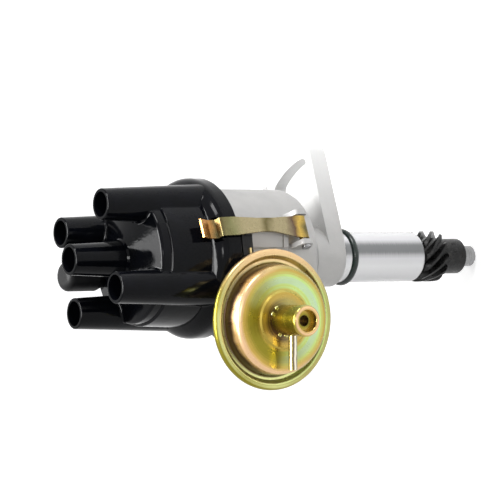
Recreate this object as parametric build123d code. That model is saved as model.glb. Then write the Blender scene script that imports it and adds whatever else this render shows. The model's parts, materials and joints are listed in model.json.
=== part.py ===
"""Ignition distributor for a four-cylinder engine.

Frame: origin where the shank axis meets the clamp flange's seating face, +Z up the
drive shaft towards the cap, +X the way the vacuum unit points. Millimetres and degrees.
"""

import math
import os

from build123d import *

# ---- clearances that the fits share ----
RUNNING = 0.04       # radial gap of a shaft in its bush or a pin in its eye
SEAT = 0.02          # radial gap of a pressed or clamped round fit
LOCATING = 0.15      # radial gap where a part is only centred
SLIP = 0.3           # axial gap beside anything that turns

# ---- shank, flange collar and neck ----
SHANK_R = 12.7
SHANK_LEN = 52.0
SHANK_EDGE = 2.5
COLLAR_STAND = 1.9   # radial step from the shank out to the collar
COLLAR_TOP = 12.2
NECK_RING_STAND = 0.5
NECK_RING_HEIGHT = 5.2
NECK_STEP = 1.2      # radial step from the ring in to the neck
NECK_FLARE = 3.0     # height of the cone between neck and bowl

# ---- O-ring in its groove under the seating face ----
ORING_DROP = 6.9
ORING_WIRE = 3.4
ORING_STAND = 1.4    # how far the ring stands out of the shank
GROOVE_WIDTH = 4.0

# ---- bowl ----
BOWL_R = 33.0
BOWL_WALL = 3.5
BOWL_BASE = 28.0
BOWL_HEIGHT = 48.0
BOWL_FLOOR = 5.0
BOWL_CORNER = 6.0
RIM_STAND = 0.4      # how far the rim land stands out of the bowl
RIM_LAND = 5.0
LEDGE_DROP = 16.0    # from the rim down to the base plate's ledge
LEDGE_WIDTH = 1.2
FRONT_PAD_Y = 9.5
FRONT_PAD_WIDTH = 9.0
FRONT_PAD_STAND = 1.6
FRONT_PAD_RISE = 21.0    # from the bowl's base up to the pad
FRONT_GROOVE_RISE = 2.6
FRONT_GROOVE_WIDTH = 1.2
FRONT_GROOVE_DEPTH = 0.6

# ---- clamp ear with its arc slot ----
EAR_MID = 120.0
EAR_SPREAD = 10.5    # how much each straight side opens from parallel
EAR_R = 57.0
EAR_CORNER = 8.0
EAR_WEB = 7.0
EAR_RIB_HEIGHT = 9.5
EAR_RIB_WIDTH = 4.5
SLOT_INSET = 10.7    # from the ear's outer arc in to the slot's middle
SLOT_WIDTH = 9.2
SLOT_TRAVEL = 28.0   # degrees between the centres of the slot's round ends

# ---- drive shaft and its bushes ----
SHAFT_R = 5.55
SHAFT_TIP_LEN = 9.7  # from the gear's hub to the shaft's end
SHAFT_TIP_STEP = 0.25
SHAFT_TIP_CHAMFER = 1.0
SPINDLE_STEP = 1.05  # the spindle inside the advance sleeve is this much slimmer
THRUST_COLLAR = 3.0
THRUST_COLLAR_HEIGHT = 1.5
BUSH_WALL = 2.45
BUSH_LEN = 22.0
BUSH_FLANGE_WIDTH = 2.0
BUSH_FLANGE = 1.5
WASHER = 0.8

# ---- helical drive gear ----
GEAR_TEETH = 11
GEAR_STAND = 0.2     # the tooth tips stand this far out of the shank
GEAR_TOOTH_DEPTH = 3.5
GEAR_FACE = 14.5
GEAR_HELIX = 42.0    # left-hand helix angle at the pitch radius
GEAR_END_CHAMFER = 1.2
HUB_WALL = 3.45
HUB_LEN = 14.0
HUB_EDGE = 0.8
GEAR_PIN_R = 2.5
GEAR_PIN_ANGLE = 31.0

# ---- centrifugal governor ----
GOVERNOR_R = 24.0
GOVERNOR_PLATE = 2.0
GOVERNOR_HOLE_R = 3.5
WEIGHT_THICK = 5.0
WEIGHT_PIVOT_R = 16.0
WEIGHT_OUTER_R = 22.0
WEIGHT_INNER_R = 12.0
WEIGHT_START = 62.0
WEIGHT_END = -55.0
WEIGHT_EYE_R = 4.5
PIVOT_POST_R = 2.2
TOE_R = 9.6          # distance of the toe pin from the shaft axis
TOE_PIN_R = 1.5
YOKE_PLATE = 2.0
YOKE_REACH = 12.5
YOKE_WIDTH = 8.0
SPRING_POST_REACH = 11.0
SPRING_POST_R = 1.2
GOVERNOR_SPRING_R = 1.9
GOVERNOR_SPRING_WIRE = 0.7
GOVERNOR_SPRING_TURNS = 7

# ---- advance sleeve, signal rotor and rotor arm ----
SLEEVE_WALL = 2.0
SLEEVE_RISE = 4.0    # the sleeve ends this far above the spindle
SCREW_HEAD_STAND = 0.6   # the keeper's head is wider than the sleeve's bore
SIGNAL_TEETH = 4
SIGNAL_HUB_WALL = 3.5
SIGNAL_HEIGHT = 7.5
SIGNAL_RISE = 2.4    # from the pick-up plate up to the signal rotor
SIGNAL_TOOTH_WIDTH = 4.0
ROTOR_GAP = 3.5      # from the signal rotor up to the rotor arm
ROTOR_HUB_WALL = 3.0
ROTOR_HEIGHT = 18.0
ROTOR_SEAT_DEPTH = 9.0   # how far the sleeve goes up into the rotor arm
ROTOR_ARM_SHORT = 2.4    # the moulding ends this far inside the blade's tip
SPARK_GAP = 0.9
BLADE = 1.2
BLADE_WIDTH = 7.0
ROTOR_ANGLE = 18.5

# ---- base plate, pick-up plate and what they carry ----
PICKUP_ROOM = 14.5   # radial room for the pick-up between signal rotor and bowl
BASE_PLATE = 1.6
BEARING_STAND = 1.0  # radial step from the signal rotor's tips to the bearing
BEARING_WALL = 2.0
SHOULDER_WIDTH = 2.0
SHOULDER_HEIGHT = 2.1
PICKUP_PLATE = 1.6
PICKUP_PLATE_INSET = 5.0
RETAINER_WIDTH = 1.4
RETAINER = 0.8
PLATE_SCREW_INSET = 3.5
PLATE_SCREW_R = 1.7
PLATE_SCREW_HEAD_R = 3.0
PLATE_SCREW_HEAD = 1.8
PLATE_SCREW_ANGLES = (75.0, 195.0, 315.0)
BOSS_R = 3.6
BOSS_HEIGHT = 8.0
COIL_ANGLE = 135.0
COIL_STAND = 2.6     # from the signal rotor's tips out to the bobbin
COIL_LEN = 6.0
COIL_R = 4.6
COIL_CHEEK = 1.0
COIL_CHEEK_HALF = 7.0
CORE_HALF = 2.0
MAGNET_THICK = 2.5
AIR_GAP = 0.4
MODULE_ANGLE = 15.0
MODULE_STAND = 4.0   # from the signal rotor's tips out to the module
MODULE_THICK = 6.4
MODULE_HALF = 7.2
MODULE_HEIGHT = 7.0
FOOT = 1.2           # thickness of the coil's and module's feet
FOOT_SCREW_R = 1.2
FOOT_SCREW_HEAD_R = 1.9
FOOT_SCREW_Y = 9.8
LINK_POST_R = 1.5
LINK_STAND = 0.5     # the link post is this far outside the pick-up plate
LINK_RISE = 1.5      # from the pick-up plate up to the pull rod's middle

# ---- vacuum unit, on its own axis parallel to X ----
VACUUM_OFFSET = 3.0  # the unit's axis is this far outside the link post
VACUUM_STROKE = 3.9
CAN_GAP = 2.0        # from the cap's skirt to the can's back
CAN_R = 32.4
CAN_SHEET = 1.0
CAN_BACK_DEPTH = 6.8     # from the can's back to its valley
CAN_BEAD_RISE = 2.4      # from the valley up to the bead's top
CAN_BEAD_WIDTH = 3.3
CAN_STEP_INSET = 6.5     # from the can's edge in to the foot of its step
CAN_STEP_LEAN = 1.3      # how much the step's wall leans in
CAN_STEP_HEIGHT = 9.5
CAN_VALLEY_WIDTH = 2.0
CAN_BOSS_R = 13.0
CAN_BOSS_RISE = 0.7
CAN_BACK_INSET = 12.4
CAN_HEM = 1.8
CAN_HEM_LEAN = 2.4       # how far the rolled hem leans in behind the bead
CAN_HEM_LIP = 1.5        # how far the hem reaches in over the back shell
NIPPLE_R = 7.2
NIPPLE_LEN = 18.0
NIPPLE_HEAD = 3.0
NIPPLE_HEAD_STEP = 0.2
NIPPLE_RECESS_R = 5.0
NIPPLE_RECESS_DEPTH = 3.0
NIPPLE_BORE_R = 2.5
NIPPLE_BORE_DEPTH = 4.0
SPIGOT_RISE = 6.2    # from the can's face to the spigot's axis
SPIGOT_R = 2.0
SPIGOT_STEP = 0.3
SPIGOT_BORE_R = 1.2
SPIGOT_LEN = 15.2
SPIGOT_SINK = 3.2    # how far the spigot's root goes into the nipple
CUP_R = 11.0
CUP_SHEET = 1.0
CUP_RIM_WIDTH = 2.5
DIAPHRAGM = 0.8
ROLL_DEPTH = 2.2
VACUUM_SPRING_INSET = 4.0
VACUUM_SPRING_WIRE = 1.0
VACUUM_SPRING_TURNS = 3
ROD_WIDTH = 4.0
ROD_THICK = 1.6
ROD_ROOM = 1.0       # gap all round the rod in the bowl's wall
PAD_INSET = 4.0      # the pad's face is this far inside the bowl's radius
PAD_HALF_Y = 10.6
PAD_HALF_Z = 7.5
PAD_SCREW_DEPTH = 5.5
BRACKET_SHEET = 2.0
BRACKET_BORE_R = 3.2
BRACKET_WALL = 1.8
BRACKET_SCREW_Y = 7.6

# ---- cap ----
SEAL = 1.0           # gasket between bowl and cap
SEAL_LAP = 0.3
SEAL_INSET = 0.5
SKIRT_STAND = 5.0    # how far the skirt stands out of the bowl
SKIRT_HEIGHT = 5.5
SKIRT_SHOULDER_R = 8.0
BODY_INSET = 5.6     # from the skirt in to the body's foot
BODY_DRAFT = 1.0     # how much the body leans in up to the crown's step
BODY_HEIGHT = 33.3
CROWN_STEP = 1.2
CROWN_EDGE = 5.1     # height of the crown's upright side
CROWN_RISE = 5.0
CENTRE_COLLAR_R = 9.6
CENTRE_COLLAR = 1.0
CAP_WALL = 5.0
CAP_ROOF = 2.3
LIP_WALL = 1.75
LIP_DEPTH = 3.5
TOWER_INSET = 10.0   # from the skirt in to the towers' axes
TOWER_START = 63.5
TOWER_TIP_R = 7.2
TOWER_RISE = 17.0    # from the crown's top to the ring towers' tips
TOWER_FOOT_RISE = 5.0
TOWER_DRAFT = 0.047  # radius gained per millimetre downwards
FLUTE_FILLET = 1.0
CENTRE_EXTRA = 9.5   # the centre tower stands this much above the others
TOWER_BORE_R = 5.8
TOWER_BORE_DEPTH = 24.4
TERMINAL_R = 2.5
CONTACT_DROP = 3.0   # from the rotor arm's top down to the contacts' ends
CONTACT_HEIGHT = 9.0
CONTACT_REACH = 3.2
CONTACT_WIDTH = 5.0
BRUSH_R = 2.5
BRUSH_LEN = 12.3
BRUSH_TRAVEL = 2.5
CENTRE_INSERT_R = 4.2
CENTRE_INSERT_DROP = 4.0
CENTRE_INSERT_TOP = 2.0
BRUSH_BORE_TOP = 3.4
BRUSH_SPRING_R = 1.9
BRUSH_SPRING_WIRE = 0.5
BRUSH_SPRING_TURNS = 4
VENT_ANGLE = 198.5
VENT_INSET = 3.0     # the vent is this far inside the ring of towers
VENT_STUB_R = 4.2
VENT_STUB_LEN = 8.4
VENT_HOLE_R = 1.2
BREATHER_R = 7.1
BREATHER_ROOF = 2.0  # room over the stub inside the cover
BREATHER_NECK_WALL = 1.0
BREATHER_NECK_LEN = 1.9

# ---- cap clips ----
CLIP_ANGLES = (22.0, 202.0)
CLIP_SHEET = 1.0
CLIP_PIN_R = 1.3
HINGE_STAND = 4.2    # from the bowl's side out to the hinge pins
HINGE_RISE = 13.0    # from the bowl's base up to the hinge pins
CLIP_RUN_STAND = 1.0     # from the skirt out to the clip's run
CLIP_BOW = 2.6       # how far the middle of the run bulges out
CLIP_BOW_ROUND = 40.0
CLIP_BOW_RISE = 21.0
CLIP_LUG_RISE = 10.0
CLIP_SEAT_INSET = 2.4
CLIP_SEAT_RISE = 1.2
CLIP_TAB_RISE = 8.8
CLIP_HINGE_WIDTH = 11.0
CLIP_WAIST_WIDTH = 6.8
CLIP_WAIST_RISE = 19.0
CLIP_WAIST_LEN = 8.0
CLIP_FLARE = 12.0
CLIP_HOOK_WIDTH = 9.0
LUG_GAP = 12.6
LUG_THICK = 2.4
LUG_ROUND = 2.6
CLIP_SEAT_WIDTH = 12.0

# ---- terminal block in the bowl's rim ----
BLOCK_ANGLE = 9.5
BLOCK_WIDTH = 11.0
BLOCK_DROP = 5.8     # from the rim down to the notch's floor
BLOCK_STAND = 3.6
BLOCK_GROOVE = 1.0
TAB_WIDTH = 3.6
TAB_THICK = 1.0
TAB_RISE = 1.6
TAB_Y = -3.2

# ---- radii and levels that follow from the sizes above ----
COLLAR_R = SHANK_R + COLLAR_STAND
NECK_RING_R = COLLAR_R + NECK_RING_STAND
NECK_RING_TOP = COLLAR_TOP + NECK_RING_HEIGHT
NECK_R = NECK_RING_R - NECK_STEP
BOWL_RIM_R = BOWL_R + RIM_STAND
BOWL_BORE_R = BOWL_R - BOWL_WALL
UNDER_LEDGE_R = BOWL_BORE_R - LEDGE_WIDTH
FLOOR_Z = BOWL_BASE + BOWL_FLOOR
RIM_Z = BOWL_BASE + BOWL_HEIGHT
LEDGE_Z = RIM_Z - LEDGE_DROP
FRONT_PAD_LOW = BOWL_BASE + FRONT_PAD_RISE
SLOT_R = EAR_R - SLOT_INSET

SHAFT_TIP_R = SHAFT_R - SHAFT_TIP_STEP
SHAFT_BORE_R = SHAFT_R + RUNNING
SPINDLE_R = SHAFT_R - SPINDLE_STEP
BUSH_R = SHAFT_R + BUSH_WALL
BUSH_FLANGE_R = BUSH_R + BUSH_FLANGE_WIDTH
GEAR_TIP_R = SHANK_R + GEAR_STAND
GEAR_ROOT_R = GEAR_TIP_R - GEAR_TOOTH_DEPTH
HUB_R = SHAFT_R + HUB_WALL
GEAR_TOP = -SHANK_LEN - WASHER
GEAR_LOW = GEAR_TOP - GEAR_FACE
HUB_LOW = GEAR_LOW - HUB_LEN
SHAFT_TIP_Z = HUB_LOW - SHAFT_TIP_LEN
THRUST_TOP = FLOOR_Z + BUSH_FLANGE + WASHER
GOVERNOR_Z = THRUST_TOP + THRUST_COLLAR_HEIGHT
WEIGHT_LOW = GOVERNOR_Z + GOVERNOR_PLATE + SLIP
WEIGHT_TOP = WEIGHT_LOW + WEIGHT_THICK
YOKE_LOW = WEIGHT_TOP + SLIP
YOKE_TOP = YOKE_LOW + YOKE_PLATE
SPRING_Z = YOKE_TOP + GOVERNOR_SPRING_R + GOVERNOR_SPRING_WIRE
POST_TOP = SPRING_Z + SPRING_POST_R

BASE_TOP = LEDGE_Z + BASE_PLATE
PICKUP_LOW = BASE_TOP + SHOULDER_HEIGHT + SLIP
PICKUP_TOP = PICKUP_LOW + PICKUP_PLATE
RETAINER_LOW = PICKUP_TOP + SLIP
SIGNAL_TIP_R = BOWL_BORE_R - PICKUP_ROOM
BEARING_R = SIGNAL_TIP_R + BEARING_STAND
BASE_HOLE_R = BEARING_R - BEARING_WALL
SHOULDER_R = BEARING_R + SHOULDER_WIDTH
RETAINER_R = BEARING_R + RETAINER_WIDTH
PICKUP_PLATE_R = BOWL_BORE_R - PICKUP_PLATE_INSET
PLATE_SCREW_RING = BOWL_BORE_R - PLATE_SCREW_INSET
COIL_IN_R = SIGNAL_TIP_R + COIL_STAND
COIL_OUT_R = COIL_IN_R + COIL_LEN
MAGNET_IN_R = COIL_OUT_R + 0.1
MAGNET_OUT_R = MAGNET_IN_R + MAGNET_THICK
MODULE_IN_R = SIGNAL_TIP_R + MODULE_STAND
MODULE_OUT_R = MODULE_IN_R + MODULE_THICK
FOOT_EDGE_R = PICKUP_PLATE_R - 0.1

SLEEVE_R = SPINDLE_R + SLEEVE_WALL
SCREW_HEAD_R = SPINDLE_R + SCREW_HEAD_STAND
SIGNAL_HUB_R = SLEEVE_R + SIGNAL_HUB_WALL
SIGNAL_LOW = PICKUP_TOP + SIGNAL_RISE
SIGNAL_TOP = SIGNAL_LOW + SIGNAL_HEIGHT
ROTOR_LOW = SIGNAL_TOP + ROTOR_GAP
SLEEVE_TOP = ROTOR_LOW + ROTOR_SEAT_DEPTH
SPINDLE_TOP = SLEEVE_TOP - SLEEVE_RISE
ROTOR_HUB_R = SLEEVE_R + ROTOR_HUB_WALL
ROTOR_TOP = ROTOR_LOW + ROTOR_HEIGHT
BLADE_TOP = ROTOR_TOP + BLADE
BRUSH_LOW = BLADE_TOP + 0.1
BRUSH_TOP = BRUSH_LOW + BRUSH_LEN

CAP_BASE = RIM_Z + SEAL
SKIRT_R = BOWL_R + SKIRT_STAND
SKIRT_SHOULDER_Z = CAP_BASE + SKIRT_HEIGHT
BODY_BASE_R = SKIRT_R - BODY_INSET
BODY_TOP_R = BODY_BASE_R - BODY_DRAFT
CROWN_R = BODY_TOP_R - CROWN_STEP
CROWN_STEP_Z = CAP_BASE + BODY_HEIGHT
CROWN_Z = CROWN_STEP_Z + CROWN_EDGE
CROWN_TOP = CROWN_Z + CROWN_RISE
CAP_BORE_R = BODY_BASE_R - CAP_WALL
CAP_CEILING = CROWN_STEP_Z - CAP_ROOF
LIP_OUTER_R = BOWL_BORE_R - LOCATING
LIP_INNER_R = LIP_OUTER_R - LIP_WALL
TOWER_RING_R = SKIRT_R - TOWER_INSET
TOWER_TIP_Z = CROWN_TOP + TOWER_RISE
TOWER_FOOT_Z = CAP_BASE + TOWER_FOOT_RISE
TOWER_SHELF_Z = TOWER_TIP_Z - TOWER_BORE_DEPTH
TOWER_ANGLES = [TOWER_START + 90.0 * quarter for quarter in range(4)]
CENTRE_TIP_Z = TOWER_TIP_Z + CENTRE_EXTRA
CENTRE_SHELF_Z = CENTRE_TIP_Z - TOWER_BORE_DEPTH
CENTRE_INSERT_LOW = CAP_CEILING - CENTRE_INSERT_DROP
CONTACT_R = TOWER_RING_R - CONTACT_REACH
CONTACT_LOW = ROTOR_TOP - CONTACT_DROP
ROTOR_TIP_R = CONTACT_R - SPARK_GAP
ROTOR_ARM_R = ROTOR_TIP_R - ROTOR_ARM_SHORT
VENT_RING_R = TOWER_RING_R - VENT_INSET
VENT_SEAT_Z = CROWN_Z + 0.2
VENT_STUB_TOP = VENT_SEAT_Z + VENT_STUB_LEN
BREATHER_NECK_R = VENT_STUB_R + BREATHER_NECK_WALL
BREATHER_NECK_TOP = VENT_SEAT_Z + BREATHER_NECK_LEN
SEAL_INNER_R = BOWL_BORE_R + SEAL_INSET

LINK_RADIUS = PICKUP_PLATE_R + LINK_STAND
LINK_POST_X = -VACUUM_STROKE / 2
LINK_POST_Y = -math.sqrt(LINK_RADIUS ** 2 - LINK_POST_X ** 2)
VACUUM_Y = -LINK_RADIUS - VACUUM_OFFSET
VACUUM_Z = PICKUP_TOP + LINK_RISE
PAD_FACE_X = BOWL_R - PAD_INSET
BRACKET_TUBE_R = BRACKET_BORE_R + BRACKET_WALL
CAN_BACK_X = SKIRT_R + CAN_GAP
CAN_BACK_R = CAN_R - CAN_BACK_INSET
CAN_VALLEY_X = CAN_BACK_X + CAN_BACK_DEPTH
CAN_BEAD_X = CAN_VALLEY_X + CAN_BEAD_RISE
CAN_STEP_R = CAN_R - CAN_STEP_INSET
CAN_FACE_R = CAN_STEP_R - CAN_STEP_LEAN
CAN_FACE_X = CAN_VALLEY_X + CAN_STEP_HEIGHT
CAN_BOSS_X = CAN_FACE_X + CAN_BOSS_RISE
NIPPLE_TIP_X = CAN_BOSS_X + NIPPLE_LEN
SPIGOT_ROOT_R = SPIGOT_R - SPIGOT_STEP
SPIGOT_X = CAN_BOSS_X + SPIGOT_RISE
SPIGOT_END_Y = VACUUM_Y - NIPPLE_R - SPIGOT_LEN
SPIGOT_ROOT_Y = VACUUM_Y - NIPPLE_R + SPIGOT_SINK
DIAPHRAGM_X = CAN_VALLEY_X - CAN_SHEET - DIAPHRAGM
CAN_HEM_R = CAN_R - CAN_HEM_LEAN
CAN_SEAT_R = CAN_HEM_R - CAN_SHEET / 2
DIAPHRAGM_R = CAN_SEAT_R - 0.1
VACUUM_SPRING_R = CUP_R - VACUUM_SPRING_INSET

HINGE_R = BOWL_R + HINGE_STAND
HINGE_Z = BOWL_BASE + HINGE_RISE
CLIP_RUN_R = SKIRT_R + CLIP_RUN_STAND
CLIP_LUG_TOP = CAP_BASE + CLIP_LUG_RISE
CLIP_SEAT_R = SKIRT_R - CLIP_SEAT_INSET
CLIP_SEAT_Z = CLIP_LUG_TOP + CLIP_SEAT_RISE
CLIP_TAB_Z = CLIP_SEAT_Z + CLIP_TAB_RISE
CLIP_WAIST_Z = HINGE_Z + CLIP_WAIST_RISE
BLOCK_LOW = RIM_Z - BLOCK_DROP
BLOCK_OUTER_R = BOWL_RIM_R + BLOCK_STAND
TAB_Z = BLOCK_LOW + TAB_RISE

# ---- small helpers ----
def outline(points, rounds=()):
    """A closed flat outline; rounds holds (corner number, radius) pairs."""
    face = make_face(Polyline(points, close=True))
    for corner, radius in rounds:
        spot = Vector(*points[corner])
        vertex = face.vertices().sort_by_distance(spot)[0]
        face = fillet(vertex, radius)
    return face


def turned(points, rounds=()):
    """A closed (radius, height) outline spun about Z."""
    return revolve(Plane.XZ * outline(points, rounds), Axis.Z)


def rod(radius, low, high, x=0.0, y=0.0):
    """A round bar parallel to Z."""
    bar = Cylinder(radius, high - low, align=(Align.CENTER, Align.CENTER, Align.MIN))
    return Pos(x, y, low) * bar


def ring(outer, inner, low, high):
    """A flat-ended tube about Z."""
    return turned([(inner, low), (outer, low), (outer, high), (inner, high)])


def block(x_pair, y_pair, z_pair):
    """A box between two limits on each axis."""
    low = (x_pair[0], y_pair[0], z_pair[0])
    size = (x_pair[1] - x_pair[0], y_pair[1] - y_pair[0], z_pair[1] - z_pair[0])
    corner = Box(*size, align=(Align.MIN, Align.MIN, Align.MIN))
    return Pos(*low) * corner


def at_angle(degrees, shape):
    """Turn a shape that is drawn along +X to another place about Z."""
    return Rot(0, 0, degrees) * shape


def on_vacuum_axis(shape):
    """Put a shape that is drawn along Z on the vacuum unit's axis along X."""
    return Pos(0, VACUUM_Y, VACUUM_Z) * Rot(0, 90, 0) * shape


def polar(radius, degrees):
    """A point in the plan view."""
    angle = math.radians(degrees)
    return (radius * math.cos(angle), radius * math.sin(angle))


def coil(radius, wire, turns, low, high):
    """An open coil spring about Z between two levels, wire included."""
    height = high - low - wire
    path = Helix(pitch=height / turns, height=height, radius=radius)
    section = Plane(origin=path @ 0, z_dir=path % 0) * Circle(wire / 2)
    return Pos(0, 0, low + wire / 2) * sweep(section, path=path, is_frenet=True)


def screw(radius, head_radius, head_height, length):
    """A pan-head screw with a cross slot; z = 0 is under the head."""
    head = turned([(0, 0), (head_radius, 0), (head_radius, head_height), (0, head_height)],
                  [(2, head_height * 0.45)])
    slot = Box(head_radius * 1.3, head_radius * 0.28, head_height, align=(Align.CENTER,
                                                                          Align.CENTER, Align.MIN))
    slot = Pos(0, 0, head_height * 0.5) * slot
    return head - slot - Rot(0, 0, 90) * slot + rod(radius, -length, 0)


# ---- housing ----
def ear_face(side_r, outer_r):
    """Clamp ear in plan: two sides that touch a circle of side_r, closed by an arc."""
    lean = 90.0 + EAR_SPREAD
    reach = math.degrees(math.acos(side_r / outer_r))
    roots = [polar(side_r, EAR_MID - lean), polar(side_r, EAR_MID + lean)]
    corners = [polar(outer_r, EAR_MID - lean + reach), polar(outer_r, EAR_MID + lean - reach)]
    side_lines = [Line(roots[0], corners[0]), Line(corners[1], roots[1])]
    outer_arc = ThreePointArc(corners[0], polar(outer_r, EAR_MID), corners[1])
    return make_face([side_lines[0], outer_arc, side_lines[1], Line(roots[1], roots[0])])


def clamp_ear():
    """The slotted ear with a rib along each straight side."""
    face = ear_face(COLLAR_R, EAR_R)
    tips = [v for v in face.vertices() if math.hypot(v.X, v.Y) > EAR_R - 1]
    ear = extrude(fillet(tips, EAR_CORNER), EAR_RIB_HEIGHT)
    hollow = ear_face(COLLAR_R - EAR_RIB_WIDTH, EAR_R * 1.2) - Circle(COLLAR_R + 1.5)
    ear -= Pos(0, 0, EAR_WEB) * extrude(hollow, EAR_RIB_HEIGHT)
    path = CenterArc((0, 0), SLOT_R, EAR_MID - SLOT_TRAVEL / 2, SLOT_TRAVEL)
    slot = SlotArc(path, SLOT_WIDTH)
    return ear - Pos(0, 0, -1) * extrude(slot, EAR_RIB_HEIGHT + 2)


def housing_shell():
    """Shank, collar, neck and bowl as one turned outline."""
    points = [
        (0, -SHANK_LEN), (SHANK_R, -SHANK_LEN), (SHANK_R, 0), (COLLAR_R, 0),
        (COLLAR_R, COLLAR_TOP), (NECK_RING_R, COLLAR_TOP), (NECK_RING_R, NECK_RING_TOP),
        (NECK_R, NECK_RING_TOP), (NECK_R, BOWL_BASE - NECK_FLARE), (BOWL_R - BOWL_CORNER, BOWL_BASE),
        (BOWL_R, BOWL_BASE), (BOWL_R, RIM_Z - RIM_LAND),
        (BOWL_RIM_R, RIM_Z - RIM_LAND + RIM_STAND),
        (BOWL_RIM_R, RIM_Z), (0, RIM_Z)]
    rounds = [(1, SHANK_EDGE), (3, 0.5), (6, 0.5), (8, 3.0), (10, BOWL_CORNER - 0.2), (13, 0.4)]
    return turned(points, rounds)


def clip_lugs(angle):
    """The two cast ears that hold a clip's hinge pin."""
    tip = HINGE_R + LUG_ROUND
    root = BOWL_R - BOWL_WALL / 2
    side = outline(
        [(root, HINGE_Z - 2 * LUG_ROUND), (tip, HINGE_Z - LUG_ROUND - 0.2),
         (tip, HINGE_Z + LUG_ROUND + 0.2), (root, HINGE_Z + 2.5 * LUG_ROUND)],
        [(1, 2.0), (2, 2.0)])
    lugs = []
    for step in (-1, 1):
        middle = step * (LUG_GAP + LUG_THICK) / 2
        lug = Pos(0, middle, 0) * extrude(Plane.XZ * side, LUG_THICK / 2, both=True)
        lugs.append(at_angle(angle, lug))
    return lugs


def vacuum_pad():
    """The cast block on the bowl's side that the vacuum bracket is screwed to."""
    low_y = VACUUM_Y - PAD_HALF_Y
    high_y = VACUUM_Y + PAD_HALF_Y
    inside_y = high_y + 5.0
    plan = outline(
        [(0, -BOWL_R + BOWL_WALL / 2), (PAD_FACE_X - 17.0, low_y), (PAD_FACE_X, low_y),
         (PAD_FACE_X, high_y), (PAD_FACE_X - 1.0, inside_y), (0, inside_y)], [(1, 3.0)])
    return Pos(0, 0, VACUUM_Z - PAD_HALF_Z) * extrude(plan, 2 * PAD_HALF_Z)


def bracket_screw_spots():
    """Centres of the vacuum bracket's screws on the pad's face."""
    return [(VACUUM_Y + side * BRACKET_SCREW_Y, VACUUM_Z) for side in (-1, 1)]


def front_pad():
    """Raised pad on the bowl's side below the terminal block, with a groove across it."""
    half = FRONT_PAD_WIDTH / 2
    face_x = BOWL_R + FRONT_PAD_STAND
    groove_z = FRONT_PAD_LOW + FRONT_GROOVE_RISE
    pad = block((BOWL_R - BOWL_WALL + 0.5, face_x), (FRONT_PAD_Y - half, FRONT_PAD_Y + half),
                (FRONT_PAD_LOW, BLOCK_LOW - 0.8))
    groove = block((face_x - FRONT_GROOVE_DEPTH, face_x + 1),
                   (FRONT_PAD_Y - half - 1, FRONT_PAD_Y + half + 1),
                   (groove_z, groove_z + FRONT_GROOVE_WIDTH))
    return pad - groove


def housing():
    """Cast bowl, neck, clamp ear and shank in one piece."""
    body = housing_shell() + clamp_ear()
    body += vacuum_pad()
    body += front_pad()
    for angle in CLIP_ANGLES:
        for lug in clip_lugs(angle):
            body += lug
    body -= turned([
        (0, FLOOR_Z), (UNDER_LEDGE_R, FLOOR_Z), (UNDER_LEDGE_R, LEDGE_Z), (BOWL_BORE_R, LEDGE_Z),
        (BOWL_BORE_R, RIM_Z + 1), (0, RIM_Z + 1)], [(1, 3.0)])
    for angle in PLATE_SCREW_ANGLES:
        x, y = polar(PLATE_SCREW_RING, angle)
        boss = rod(BOSS_R, LEDGE_Z - BOSS_HEIGHT, LEDGE_Z, x, y)
        body += boss
        body -= rod(PLATE_SCREW_R + SEAT, LEDGE_Z - BOSS_HEIGHT + 1, LEDGE_Z + 1, x, y)
    body -= turned([
        (0, -SHANK_LEN - 1), (BUSH_R + SEAT, -SHANK_LEN - 1), (BUSH_R + SEAT, BUSH_LEN - SHANK_LEN),
        (SHAFT_R + 1.5, BUSH_LEN - SHANK_LEN), (SHAFT_R + 1.5, FLOOR_Z - BUSH_LEN),
        (BUSH_R + SEAT, FLOOR_Z - BUSH_LEN), (BUSH_R + SEAT, FLOOR_Z + 1), (0, FLOOR_Z + 1)])
    groove_r = SHANK_R + ORING_STAND - ORING_WIRE - SEAT
    groove_z = -ORING_DROP - GROOVE_WIDTH / 2
    body -= ring(SHANK_R + 5, groove_r, groove_z, groove_z + GROOVE_WIDTH)
    body -= clip_pin_bores()
    body -= rod_window()
    for y, z in bracket_screw_spots():
        hole = Rot(0, 90, 0) * rod(
            PLATE_SCREW_R + SEAT, PAD_FACE_X - PAD_SCREW_DEPTH, PAD_FACE_X + 1)
        body -= Pos(0, y, z) * hole
    return body - terminal_notch()


def clip_pin_bores():
    """Through holes in the lugs for the hinge pins."""
    bores = [clip_pin(angle, CLIP_PIN_R + SEAT) for angle in CLIP_ANGLES]
    return Part() + bores


def rod_window():
    """Opening in the bowl's wall that the pull rod passes through."""
    half_y = ROD_WIDTH / 2 + ROD_ROOM
    half_z = ROD_THICK / 2 + ROD_ROOM
    return block((4.0, PAD_FACE_X + 1), (VACUUM_Y - half_y, VACUUM_Y + half_y),
                 (VACUUM_Z - half_z, VACUUM_Z + half_z))


def terminal_notch():
    """Cut in the bowl's rim for the terminal block."""
    half = BLOCK_WIDTH / 2
    cut = block((BOWL_BORE_R - 2, BOWL_RIM_R + 5), (-half, half), (BLOCK_LOW, RIM_Z + 1))
    return at_angle(BLOCK_ANGLE, cut)


def o_ring():
    """Rubber ring that stands proud of the shank."""
    middle = SHANK_R + ORING_STAND - ORING_WIRE / 2
    return Pos(0, 0, -ORING_DROP) * Torus(middle, ORING_WIRE / 2)


def bushes():
    """Sintered bushes pressed into the shank's foot and the bowl's floor."""
    lower = ring(BUSH_R, SHAFT_BORE_R, -SHANK_LEN, BUSH_LEN - SHANK_LEN - 0.5)
    upper = turned([
        (SHAFT_BORE_R, FLOOR_Z - BUSH_LEN + 0.5), (BUSH_R, FLOOR_Z - BUSH_LEN + 0.5),
        (BUSH_R, FLOOR_Z), (BUSH_FLANGE_R, FLOOR_Z), (BUSH_FLANGE_R, FLOOR_Z + BUSH_FLANGE),
        (SHAFT_BORE_R, FLOOR_Z + BUSH_FLANGE)])
    return lower, upper


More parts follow.
